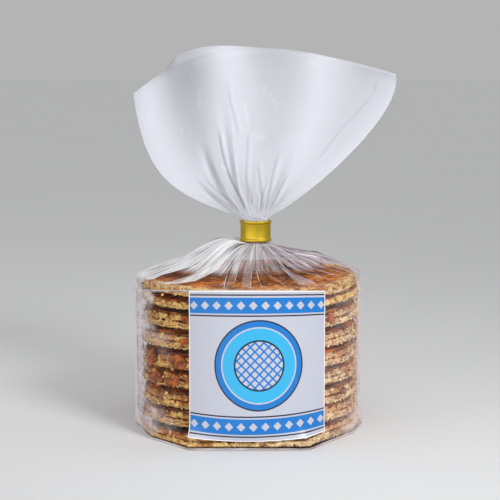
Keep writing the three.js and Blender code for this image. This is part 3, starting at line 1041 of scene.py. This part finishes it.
# %% The wafer
def select_edges(obj, test):
    """In edit mode, selects the edges whose two ends pass the test, and nothing else."""
    bpy.ops.mesh.select_mode(type="EDGE")
    bpy.ops.mesh.select_all(action="DESELECT")
    mesh = bmesh.from_edit_mesh(obj.data)
    for edge in mesh.edges:
        edge.select = test(edge, *(vert.co for vert in edge.verts))
    bmesh.update_edit_mesh(obj.data)


def make_wafer():
    deselect()
    bpy.ops.mesh.primitive_cylinder_add(
        vertices=WAFER_STEPS, radius=WAFER_RADIUS * MM, depth=WAFER_THICKNESS * MM, end_fill_type="NOTHING")
    wafer = named("wafer")
    half = WAFER_THICKNESS * MM / 2
    corner = WAFER_RADIUS * MM - TOLERANCE
    with editing(wafer):
        select_edges(wafer, lambda edge, a, b: abs(a.z - b.z) > TOLERANCE)
        bpy.ops.mesh.subdivide(number_cuts=5)
        for z in (half, -half):
            select_edges(wafer, lambda edge, a, b: edge.is_boundary and abs(a.z - z) < TOLERANCE
                         and a.z == b.z)
            for _ in range(2):
                bpy.ops.mesh.extrude_edges_move()
                bpy.ops.transform.resize(value=(FACE_INSET, FACE_INSET, 1), center_override=(0, 0, z))
            bpy.ops.mesh.edge_face_add()
        for z, rounding in ((-half, OUTER_ROUNDING), (half, INNER_ROUNDING)):
            select_edges(wafer, lambda edge, a, b: min(a.xy.length, b.xy.length) > corner
                         and max(abs(a.z - z), abs(b.z - z)) < TOLERANCE)
            bpy.ops.mesh.bevel(offset=rounding * MM, segments=2)
        face_outwards()
    return wafer


wafer = make_wafer()
print("wafer:", len(wafer.data.polygons), "faces")

# %% [markdown]
# ## The pile
#
# The wafer is modelled once and copied, and every copy has its own mesh. What makes eight waffles
# look baked is that no two edges crumble alike. Displacement by a cloud texture that is fixed in
# space does that, because each copy lies at another height. Each waffle is also a little off centre
# and tilted, and the film holds all of them in, so no crumb may stand out further than the film.

# %% Crumbling an edge
def cloud(name, size, kind="CLOUDS", **settings):
    texture = bpy.data.textures.new(name, kind)
    texture.noise_scale = size * MM
    for key, value in settings.items():
        setattr(texture, key, value)
    return texture


CHUNKS = cloud("chunks", 2.6, noise_depth=2)
FLAKES = cloud("flakes", 1.2, kind="VORONOI")
EDGE_BAND = 2.4


def roughen(obj, texture, depth, mid_level=0.55, **settings):
    apply_modifier(obj, "DISPLACE", texture=texture, texture_coords="LOCAL", strength=depth * MM,
                   mid_level=mid_level, **settings)


def crumble(obj, chunk_depth, flake_depth):
    """Roughens the cut edge, and leaves the baked faces as they are."""
    group = obj.vertex_groups.new(name="edge")
    radii = np.hypot(*points_of(obj)[:, :2].T) / MM
    for k, radius in enumerate(radii):
        group.add([k], ease(radius, WAFER_RADIUS - EDGE_BAND, WAFER_RADIUS - 0.4), "REPLACE")
    for texture, depth, way in ((CHUNKS, chunk_depth, "NORMAL"), (FLAKES, flake_depth, "NORMAL"),
                                (CHUNKS, 0.5 * chunk_depth, "Z")):
        roughen(obj, texture, depth, vertex_group="edge", direction=way)
    obj.vertex_groups.clear()


# %% Holding the pile in the film
FILM_SLACK = 0.35
TABLE_GAP = 0.12


def angle_and_radius(x, y):
    return math.degrees(math.atan2(x, -y)), math.hypot(x, y)


def hold_in(obj):
    """Presses in whatever would stand out of the film or through the table."""
    points = points_of(obj) / MM
    for point in points:
        point[2] = max(point[2], TABLE_GAP)
        centre = wall_centre(point[2])
        degrees, radius = angle_and_radius(point[0] - centre, point[1])
        limit = wall_radius(degrees, point[2]) - FILM_SLACK
        if radius > limit:
            point[0] = centre + (point[0] - centre) * limit / radius
            point[1] *= limit / radius
    set_points(obj, points * MM)


# %% Where each waffle lies
TILT = 0.9  # degrees, each waffle's right side higher than its left
TUCK_LEFT = 1.6  # how far the pile ends before the film at the sides
TUCK_RIGHT = 0.6
TUCK_FROM = 22  # and how far from the middle that starts
scatter = random.Random(5)
# How far each waffle rises to the right and to the back, and where its edge waves up and down.
PILE = [
    (math.radians(TILT * (0.75 + 0.25 * k / 7) + scatter.uniform(-0.15, 0.15)),
     math.radians(scatter.uniform(-0.25, 0.25)), 0.6 * k)
    for k in range(WAFFLE_COUNT)
]


# The waffles lie 6.9 millimetres apart on average, and some are pressed closer together.
WAFFLE_BASES = [0.2, 7.2, 13.4, 20.4, 26.8, 33.8, 41.1, 48.3]


def pile_lift(k, x, y):
    rise, slant, wave = PILE[k]
    slope = np.sin(np.arctan2(x, -y) * 2 + wave)
    reach = np.hypot(x, y) / WAFER_RADIUS
    droop = np.clip((-x - TUCK_FROM) / 18, 0, 1) ** 2 * (0 < k < WAFFLE_COUNT - 1)
    return rise * x + slant * y + 0.35 * slope * reach ** 2 - droop


# %% Following the pile
def tuck(x):
    """The film is loose at the far left and right, so the pile ends a little before it there."""
    left, right = (np.clip((way * x - TUCK_FROM) / 19, 0, 1) ** 2 for way in (-1, 1))
    return x + TUCK_LEFT * left - TUCK_RIGHT * right


def fill_foot(points):
    """The lowest waffle is pressed out into the corners of the foot."""
    for point in points:
        degrees, radius = angle_and_radius(point[0], point[1])
        reach = radius / WAFER_RADIUS
        out = wall_radius(degrees, point[2]) - 0.7 - WAFER_RADIUS
        corner = 0.6 * ease(reach, 0.93, 0.97) * (1 - ease(point[2], 1, 2.2))
        point[:2] *= 1 + (out * min(reach, 1) ** 4 + corner) / WAFER_RADIUS


def follow_pile(obj, k):
    """Tilts and waves a level piece as the waffle that it belongs to."""
    points = points_of(obj) / MM
    points[:, 2] += pile_lift(k, points[:, 0], points[:, 1])
    if k > 0:
        points[:, 0] = tuck(points[:, 0])
    else:
        fill_foot(points)
    set_points(obj, points * MM)
    hold_in(obj)


print("waffles at", WAFFLE_BASES, "mm")

# %% The cut edge
EDGE_SLOPE = 2.1  # the cut edge draws back this far from its foot to its top
WAFFLE_THICKNESS = 2 * WAFER_THICKNESS + SYRUP_THICKNESS
TOP_EDGE_LIMIT = 0.55  # the loose top half isn't drawn back further


def slope_edge(waffle, k):
    """The cut edge is widest low down. Its height is kept as a value, for the material."""
    points = points_of(waffle) / MM
    height = (points[:, 2] - WAFFLE_BASES[k]) / WAFFLE_THICKNESS
    if k == WAFFLE_COUNT - 1:
        height = np.minimum(height, TOP_EDGE_LIMIT)
    radii = np.hypot(points[:, 0], points[:, 1])
    back = EDGE_SLOPE * np.clip(height, 0, 1) ** 1.3 * (radii / WAFER_RADIUS) ** 8
    points[:, :2] *= (1 - back / WAFER_RADIUS)[:, None]
    set_points(waffle, points * MM)
    add_values(waffle, "height", height)


# %% Laying the pile
# The upper half of the top waffle has come loose: it lies level, and leaves a slit at the left.
TOP_HALF_RISE = 2.0
TOP_HALF_SCALE = 1.25
SHIFT = 0.3  # how far off centre a half may lie


def join_all(pieces, name):
    pick(pieces[0])
    for piece in pieces:
        piece.select_set(True)
    bpy.ops.object.join()
    return named(name)


def off_centre():
    return scatter.uniform(-SHIFT, SHIFT) * MM


waffles = []
for k in range(WAFFLE_COUNT):
    halves = []
    for middle, turn in zip(HALF_MIDDLES, (0, math.pi)):
        half = copy_of(wafer, "half")
        half.rotation_euler = (turn, 0, 0)
        if k == WAFFLE_COUNT - 1 and turn:
            middle += TOP_HALF_RISE
            half.rotation_euler = (turn, math.radians(TILT), 0)
            half.scale.z = TOP_HALF_SCALE
        half.location = (off_centre(), off_centre(), (WAFFLE_BASES[k] + middle) * MM)
        settle(half)
        halves.append(half)
    waffle = join_all(halves, f"waffle_{k + 1}")
    slope_edge(waffle, k)
    crumble(waffle, 2.4, 1.3)
    follow_pile(waffle, k)
    waffles.append(waffle)
bpy.data.objects.remove(wafer)
print(len(waffles), "waffles")

# %% [markdown]
# ## The iron's pattern
#
# The waffle iron leaves a grid of shallow pits with thin ridges between them. It shows only on the top
# of the pile and on its underside, so only those two faces are cut finer, and pressed in by a formula.
# The depth is also kept on each vertex, so that the material can brown the ridges and leave the pits
# darker.

# %% The iron's grid
IRON_ANGLE = math.radians(24)
PIT_PITCH = 4.7
RIDGE_WIDTH = 1.3
PIT_DEPTH = 0.55
PLAIN_RIM = (3.2, 2)  # no pits nearer to the edge than this, and shallower ones before it
BROWN_RIM = (34, 4)  # from which radius, and within what width, the face pales


def pit_at(x, y):
    """0 on a ridge and 1 on the floor of a pit."""
    share = 1.0
    for place in (x, y):
        off = abs((place / PIT_PITCH) % 1 - 0.5) * PIT_PITCH
        share *= 1 - ease(off, PIT_PITCH / 2 - RIDGE_WIDTH, PIT_PITCH / 2 - 0.35 * RIDGE_WIDTH)
    return share


# %% Pressing the pits
def cut_finer(waffle, up):
    """Cuts a baked face into small squares, and gives their corners' numbers."""
    with editing(waffle):
        bpy.ops.mesh.select_mode(type="FACE")
        bpy.ops.mesh.select_all(action="DESELECT")
        mesh = bmesh.from_edit_mesh(waffle.data)
        plates = (face for face in mesh.faces if len(face.verts) > 4)
        max(plates, key=lambda face: face.calc_center_median().z * up).select = True
        bmesh.update_edit_mesh(waffle.data)
        bpy.ops.mesh.delete(type="ONLY_FACE")
        select_edges(waffle, lambda edge, a, b: edge.is_boundary)
        bpy.ops.mesh.fill_grid(span=WAFER_STEPS // 4)
        bpy.ops.mesh.select_mode(type="FACE")
        bpy.ops.mesh.subdivide(number_cuts=1)
        mesh = bmesh.from_edit_mesh(waffle.data)
        return [vert.index for vert in mesh.verts if vert.select]


def press_iron(waffle, up):
    chosen = cut_finer(waffle, up)
    spin = Matrix.Rotation(IRON_ANGLE, 2)
    fade_from, fade_to = (WAFER_RADIUS - gap for gap in PLAIN_RIM)
    points = points_of(waffle)
    pits = np.zeros(len(points))
    for k in chosen:
        x, y, _ = points[k] / MM
        turned = Vector((x, y)) @ spin
        pits[k] = pit_at(*turned) * (1 - ease(math.hypot(x, y), fade_from, fade_to))
        points[k, 2] -= up * pits[k] * PIT_DEPTH * MM
    set_points(waffle, points)
    add_values(waffle, "pit", pits)
    radii = np.hypot(points[:, 0], points[:, 1]) / MM
    add_values(waffle, "rim", np.clip((radii - BROWN_RIM[0]) / BROWN_RIM[1], 0, 1))


press_iron(waffles[-1], 1)
press_iron(waffles[0], -1)
hold_in(waffles[0])
print("pits every", PIT_PITCH, "mm")

# %% [markdown]
# ## Baked dough
#
# The cut edge is pale gold and porous, and the faces are browned. So the finish starts from crumb: a
# cell pattern for the flakes, clouds for darker and lighter places. Browning comes over it where the
# surface looks up or down, which the faces do and the cut edge doesn't.

# %% The waffle's edge and faces
def cut_edge_colour(coat, wander, grain, flake):
    """Pale crumb, toasted in grains and pits, darker to the top of each waffle and its crust, partly
    painted shade.
    """
    axes = coat.axes(coat.place)
    up = coat.kept("height")
    # Painted light: the crumb and the dark band are paler on the right, where the key light falls, and less
    # so at the top of the pile.
    side = coat.spread(axes["X"], -0.02, 0.03, 0, coat.spread(axes["Z"], 0.046, 0.05, 1, 0.2))
    light_crumb = coat.blend(side, rgb(238, 198, 120), rgb(243, 215, 166))
    dark_crumb = coat.blend(side, rgb(180, 98, 38), rgb(198, 131, 86))
    # Darker towards the top of each waffle, partly as painted shade under the waffle above.
    rise = coat.calc("MULTIPLY_ADD", wander, 2.6, up)
    crumb = coat.blend(coat.spread(rise, 0.2, 1.1), light_crumb, dark_crumb)
    toasted = coat.blend(coat.spread(grain, 0.5, 0.7, 0, 0.75), crumb, rgb(150, 74, 30))
    pocked = coat.blend(coat.spread(flake, 0.6, 1.0, 0, 0.5), toasted, rgb(96, 48, 18))
    # Painted shade: a dark band along the top and bottom of each cut edge, partly crust and partly the
    # shade in the gaps between waffles.
    off_middle = coat.calc("SUBTRACT", coat.calc("MULTIPLY_ADD", wander, 0.35, up), 0.5)
    crust_and_gap_shade = coat.spread(coat.calc("ABSOLUTE", off_middle), 0.36, 0.5, 0, 0.95)
    return coat.blend(crust_and_gap_shade, pocked, coat.blend(side, rgb(48, 20, 14), rgb(122, 62, 38)))


def baked_face_colour(coat):
    browned = coat.blend(coat.spread(coat.clouds(110, 4), 0.38, 0.6), rgb(228, 132, 26), rgb(132, 60, 9))
    return coat.blend(coat.calc("MULTIPLY", coat.kept("pit"), 0.55), browned, rgb(112, 54, 12))


def is_face(coat, wander):
    """1 where the surface looks up or down and isn't near the rim."""
    upright = coat.axes(coat.add("NewGeometry").outputs["Normal"])["Z"]
    upright = coat.spread(coat.calc("ABSOLUTE", upright), 0.6, 0.95)
    rim = coat.spread(coat.calc("MULTIPLY_ADD", wander, 1.2, coat.kept("rim")), 0.4, 0.6)
    return coat.calc("MULTIPLY", upright, coat.calc("SUBTRACT", 1.0, rim))


# %% The waffle's finish
def waffle_material():
    coat = Coat("baked_dough")
    wander = coat.calc("SUBTRACT", coat.clouds(190, 3), 0.5)
    grain = coat.clouds(800, 3)
    cells = {"Vector": coat.stretched(coat.place, (460, 460, 900)), "Scale": 1}
    flake = coat.add("TexVoronoi", cells).outputs["Distance"]
    edge = cut_edge_colour(coat, wander, grain, flake)
    colour = coat.blend(is_face(coat, wander), edge, baked_face_colour(coat))
    height = coat.calc("MULTIPLY_ADD", grain, 0.6, coat.calc("MULTIPLY", flake, -0.5))
    return coat.opaque(colour, 0.72, Normal=coat.relief(height, 1, 0.0012), Specular_IOR_Level=0.35)


dough = waffle_material()
for waffle in waffles:
    hand_over(waffle, ["waffles"], dough)

# %% [markdown]
# ## Syrup
#
# Between the halves of each waffle lies a layer of thick caramel syrup. It stops short of the edge in
# most places, and here and there it has run out over the edge and set as a glossy lump. The layer is a
# flat cylinder with a rounded, wandering edge. The lumps are spheres, flattened against the edge.

# %% One layer and one lump of syrup
# Each lump is (which waffle, angle, height in the waffle, width, height, how far it stands out).
LUMPS = [
    (4, -61, 3.0, 7.6, 4.6, 1.3), (4, -38, 3.0, 8.0, 5.2, 1.2), (3, -55.5, 2.3, 10.5, 5.0, 1.3),
    (3, -41, 2.2, 6.2, 4.2, 1.2), (6, 45, 3.3, 3.2, 3.2, 1.1), (5, -34, 3.2, 3.2, 2.0, 0.9),
    (1, -52, 3.3, 3.4, 2.0, 0.9), (2, 58, 3.2, 3.6, 2.2, 0.9), (5, 116, 3.3, 5.6, 3.6, 1.2),
    (2, 150, 3.3, 6.2, 4.0, 1.2), (6, -140, 3.4, 5.0, 3.4, 1.2), (1, 176, 3.2, 4.0, 3.0, 1.0),
    (4, 98, 3.3, 3.0, 2.4, 1.0), (7, -118, 3.2, 4.4, 2.6, 1.0), (3, -165, 3.4, 5.4, 3.2, 1.1),
]
SYRUP_RADIUS = 39.3
SYRUP_STEPS = 200
SYRUP_OVERLAP = 0.3  # the layer reaches this much into both halves together
LUMP_SINK = 0.35  # how deep a lump's middle lies in the edge


def syrup_layer(k, middle):
    deselect()
    bpy.ops.mesh.primitive_cylinder_add(
        vertices=SYRUP_STEPS, radius=SYRUP_RADIUS * MM, depth=(SYRUP_THICKNESS + SYRUP_OVERLAP) * MM,
        location=(0, 0, middle * MM))
    layer = named(f"syrup_{k + 1}")
    with editing(layer):
        bpy.ops.mesh.bevel(offset=0.5 * MM, segments=3)
    settle(layer)
    points = points_of(layer)
    for point in points:
        angle = math.atan2(point[0], -point[1])
        wander = noise_at(math.cos(angle) * 3, math.sin(angle) * 3, k * 4.1)
        point[:2] *= 1 + (1.1 * wander - 0.35) / SYRUP_RADIUS
    set_points(layer, points)
    return layer


def syrup_lump(degrees, z, width, tall, stand_out):
    deselect()
    bpy.ops.mesh.primitive_uv_sphere_add(segments=28, ring_count=18, radius=1)
    lump = named("lump")
    lump.scale = (width / 2 * MM, stand_out * MM, tall / 2 * MM)
    lump.rotation_euler = (0, 0, math.radians(degrees))
    lump.location = polar(0, WAFER_RADIUS - LUMP_SINK, WAFER_RADIUS - LUMP_SINK, degrees, z) * MM
    settle(lump)
    roughen(lump, CHUNKS, 3.4)
    roughen(lump, FLAKES, 1.5, mid_level=0.5)
    return lump


# %% Laying the syrup
syrups = []
for k, base in enumerate(WAFFLE_BASES):
    pieces = [syrup_layer(k, base + WAFER_THICKNESS + SYRUP_THICKNESS / 2)]
    for which, degrees, height, *size in LUMPS:
        if which == k:
            pieces.append(syrup_lump(degrees, base + height, *size))
    syrup = join_all(pieces, pieces[0].name)
    follow_pile(syrup, k)
    syrups.append(syrup)
print(len(LUMPS), "lumps")

# %% The syrup's finish
syrup_coat = Coat("caramel_syrup")
cloudy = syrup_coat.clouds(330, 3)
amber = syrup_coat.blend(syrup_coat.spread(cloudy, 0.35, 0.65), rgb(188, 97, 30), rgb(98, 45, 13))
caramel = syrup_coat.opaque(
    amber, 0.24, Normal=syrup_coat.relief(cloudy, 0.7, 0.0006), Specular_IOR_Level=0.4,
    Subsurface_Weight=0.15, Subsurface_Scale=0.001)
for syrup in syrups:
    hand_over(syrup, ["waffles"], caramel)

# %% [markdown]
# ## Crumbs
#
# Dry edges shed, and flakes cling to them. One crumb is modelled from a small ball, an array repeats
# it, and then every copy is turned, sized and put in its place on an edge. They are one mesh, so that
# the pile stays light.

# %% Scattering the crumbs
CRUMB_COUNT = 900
CRUMB_SIZES = (0.18, 0.62)
CRUMB_HEIGHT = 0.3  # all crumbs are as pale as this height on a cut edge
deselect()
bpy.ops.mesh.primitive_ico_sphere_add(subdivisions=2, radius=1)
crumbs = named("crumbs")
bumps = bpy.data.textures.new("crumb_shape", "CLOUDS")
bumps.noise_scale = 0.9
apply_modifier(crumbs, "DISPLACE", texture=bumps, texture_coords="LOCAL", strength=0.9)
corner_count = len(crumbs.data.vertices)
apply_modifier(crumbs, "ARRAY", count=CRUMB_COUNT, use_relative_offset=False)
shapes = points_of(crumbs).reshape(CRUMB_COUNT, corner_count, 3)
scatter = random.Random(23)
for shape in shapes:
    k = scatter.randrange(WAFFLE_COUNT)
    half = scatter.choice(HALF_MIDDLES)
    degrees = scatter.uniform(-180, 180)
    size = scatter.uniform(*CRUMB_SIZES)
    z = WAFFLE_BASES[k] + half + scatter.uniform(-1, 1) * WAFER_THICKNESS * 0.45
    spot = polar(0, 1, 1, degrees, 0) * (WAFER_RADIUS - 0.15 + scatter.uniform(-0.3, 0.35))
    z += pile_lift(k, spot.x, spot.y)
    turn = Euler([scatter.uniform(0, 6.3) for _ in range(3)]).to_matrix()
    stretch = np.array([scatter.uniform(0.6, 1.5) for _ in range(3)])
    shape[:] = (shape * stretch * size) @ np.array(turn) + np.array((tuck(spot.x), spot.y, z))
set_points(crumbs, shapes.reshape(-1, 3) * MM)
hold_in(crumbs)
add_values(crumbs, "height", np.full(CRUMB_COUNT * corner_count, CRUMB_HEIGHT))
hand_over(crumbs, ["waffles"], dough)

# %% [markdown]
# ## The clip
#
# A flat metal strip is bent round the neck, and each edge is rolled over a thin wire. It is made from
# a ring: squeezed to an oval, opened at the back, drawn up to its height, with the rows near both
# edges pushed out. Thickness and a small bevel give it the bright lines that tell metal from paint.

# %% Bending the strip
clip_low, clip_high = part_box("clip")
clip_middle = (clip_low + clip_high) / 2
CLIP_RIB = 0.3  # how far the rolled edges stand out
CLIP_RIB_BAND = (0.1, 0.9)  # how far from the strip's edge they start and end
CLIP_THICKNESS = 0.5
CLIP_SLIT = 9  # degrees
CLIP_STEPS = 120
CLIP_RISES = [0.18, 0.38, 0.3, 0.3, 5.38, 0.3, 0.3, 0.38, 0.18]  # from one row to the next
clip_half = (clip_high - clip_low) / 2 - Vector((CLIP_RIB, CLIP_RIB, 0)) * MM


def at_slit(edge, a, b):
    """Whether the middle of an edge of the ring lies where the clip's two ends meet."""
    middle = (a + b) / 2
    half_slit = clip_half.x * math.radians(CLIP_SLIT) / 2
    return middle.y > clip_high.y - 1 * MM and abs(middle.x - clip_middle.x) < half_slit


deselect()
bpy.ops.mesh.primitive_circle_add(
    vertices=CLIP_STEPS, radius=1, location=(clip_middle.x, clip_middle.y, clip_low.z))
clip_band = named("clip_band")
clip_band.scale = (clip_half.x, clip_half.y, 1)
settle(clip_band)
with editing(clip_band):
    select_edges(clip_band, at_slit)
    bpy.ops.mesh.delete(type="EDGE")
    bpy.ops.mesh.select_all(action="SELECT")
    for rise in CLIP_RISES:
        bpy.ops.mesh.extrude_edges_move(TRANSFORM_OT_translate={"value": (0, 0, rise * MM)})
    face_outwards()
points = points_of(clip_band)
for point in points:
    edge_gap = min(point[2] - clip_low.z, clip_high.z - point[2])
    if CLIP_RIB_BAND[0] * MM < edge_gap < CLIP_RIB_BAND[1] * MM:
        out = Vector((point[0] - clip_middle.x, point[1] - clip_middle.y)).normalized() * CLIP_RIB * MM
        point[:2] += out
set_points(clip_band, points)
apply_modifier(clip_band, "SOLIDIFY", thickness=CLIP_THICKNESS * MM, offset=-1)
apply_modifier(clip_band, "BEVEL", width=0.08 * MM, segments=2, limit_method="ANGLE",
               angle_limit=math.radians(35))
print("clip strip", round(sum(CLIP_RISES), 1), "mm high")

# %% The clip's finish
clip_coat = Coat("gold_strip")
drawn = clip_coat.clouds(1, 3, clip_coat.stretched(clip_coat.place, (300, 300, 2600)))
gold = clip_coat.opaque(
    clip_coat.blend(drawn, rgb(208, 181, 60), rgb(190, 158, 42)),
    clip_coat.spread(drawn, 0.3, 0.7, 0.36, 0.5),
    Metallic=1, Normal=clip_coat.relief(drawn, 0.12, 0.0001))
hand_over(clip_band, ["clip"], gold, sharp_from=30)

# %% [markdown]
# ## The label
#
# The label is a sheet of coated paper that follows the wall. It is a flat grid, curved by the same
# formula as the film, and it keeps a flat map of itself, in which its print is laid out. The print is
# a plain one of its own: a blue band along the top and the bottom with white lozenges, and between
# them a round medal with a waffle's grid. All of it is built from distances in the flat map, so its
# edges stay sharp at any size.

# %% Laying the label
LABEL_LEFT = -28.8
LABEL_RIGHT = 40.1
LABEL_FOOT = 3.3  # height of its lower edge at the front
LABEL_FOOT_RISE = 7  # how fast that edge rises to the sides
LABEL_TOP = 56.2
LABEL_GAP = 0.3
LABEL_THICKNESS = 0.16
LABEL_COLUMNS = 84
LABEL_ROWS = 60
LABEL_WIDTH = math.radians(LABEL_RIGHT - LABEL_LEFT) * (FILM_RADIUS + LABEL_GAP)
LABEL_TALL = 51.6


def label_height(degrees, up):
    turn = 1 - math.cos(math.radians(degrees))
    return mix(LABEL_FOOT + LABEL_FOOT_RISE * turn, LABEL_TOP - CREASE_ARCH * turn, up)


deselect()
bpy.ops.mesh.primitive_grid_add(
    x_subdivisions=LABEL_COLUMNS, y_subdivisions=LABEL_ROWS, size=1, calc_uvs=True)
label_sheet = named("label_sheet")
points = points_of(label_sheet)
for point in points:
    degrees = mix(LABEL_LEFT, LABEL_RIGHT, point[0] + 0.5)
    z = label_height(degrees, point[1] + 0.5)
    radius = wall_radius(degrees, z) + LABEL_GAP
    point[:] = polar(wall_centre(z), radius, radius, degrees, z) * MM
set_points(label_sheet, points)
apply_modifier(label_sheet, "SOLIDIFY", thickness=LABEL_THICKNESS * MM, offset=1)
print("label:", round(LABEL_WIDTH, 1), "x", LABEL_TALL, "mm flat")

# %% The sizes of the print
# Each band is (height of its middle, of the line over it and of the line under it).
LABEL_BANDS = [(46.6, 50.2, 43.1), (5.2, 8.7, 1.7)]
BAND_HALF = 2.7
LINE_HALF = 0.25
LOZENGE_PITCH = 4.2
LOZENGE_HALF = 1.5
MEDAL_HEIGHT = 26.2
# Each ring of the medal is (its outer radius, its ink).
MEDAL_RINGS = [
    (15.6, "navy"), (15.1, "blue"), (13.2, "paper"), (12.7, "sky"), (8.8, "navy"), (8.2, "paper"),
]
GRID_PITCH = 3.1
GRID_HALF = 0.42
PAPER_EDGE = 0.3  # the bare cut edge of the sheet, whiter, and partly a painted highlight

# %% The label's print
def label_material():
    coat = Coat("printed_paper")
    calc = coat.calc
    flat = coat.axes(coat.add("UVMap", uv_map="UVMap").outputs["UV"])
    x = calc("MULTIPLY_ADD", flat["X"], LABEL_WIDTH, -LABEL_WIDTH / 2)
    y = calc("MULTIPLY", flat["Y"], LABEL_TALL)
    fibres = coat.clouds(900, 3)
    inks = {
        "paper": coat.blend(fibres, rgb(180, 183, 196), rgb(186, 188, 199)), "navy": rgb(22, 30, 58),
        "blue": rgb(10, 112, 190), "sky": rgb(48, 168, 216), "edge": rgb(244, 238, 240)}
    layers = []

    def away(value, middle):
        return calc("ABSOLUTE", calc("SUBTRACT", value, middle))

    def repeated(value, pitch):
        """Distance from the middle of the cell that the value falls in."""
        return away(calc("FLOORED_MODULO", value, pitch), pitch / 2)

    def within(value, most, ink):
        share = calc("LESS_THAN", value, most)
        layers.append((share, inks[ink]))
        return share

    for middle, *lines in LABEL_BANDS:
        within(away(y, middle), BAND_HALF, "blue")
        for line in lines:
            within(away(y, line), LINE_HALF, "navy")
        within(calc("ADD", repeated(x, LOZENGE_PITCH), away(y, middle)), LOZENGE_HALF, "paper")
    up = calc("SUBTRACT", y, MEDAL_HEIGHT)
    medal = calc("SQRT", calc("MULTIPLY_ADD", x, x, calc("MULTIPLY", up, up)))
    for radius, ink in MEDAL_RINGS:
        disc = within(medal, radius, ink)
    slants = [repeated(calc(way, x, y), GRID_PITCH) for way in ("ADD", "SUBTRACT")]
    grid = calc("LESS_THAN", calc("MINIMUM", *slants), GRID_HALF)
    layers.append((calc("MULTIPLY", disc, grid), inks["blue"]))
    side_gap = calc("SUBTRACT", LABEL_WIDTH / 2, calc("ABSOLUTE", x))
    end_gap = calc("MINIMUM", y, calc("SUBTRACT", LABEL_TALL, y))
    # The bare cut edge is whiter, partly as a painted highlight where it catches the light.
    within(calc("MINIMUM", side_gap, end_gap), PAPER_EDGE, "edge")
    colour = inks["paper"]
    for share, ink in layers:
        colour = coat.blend(share, colour, ink)
    return coat.opaque(colour, 0.34, Normal=coat.relief(fibres, 0.05, 0.0002), Specular_IOR_Level=0.5)


hand_over(label_sheet, ["label"], label_material(), sharp_from=40)
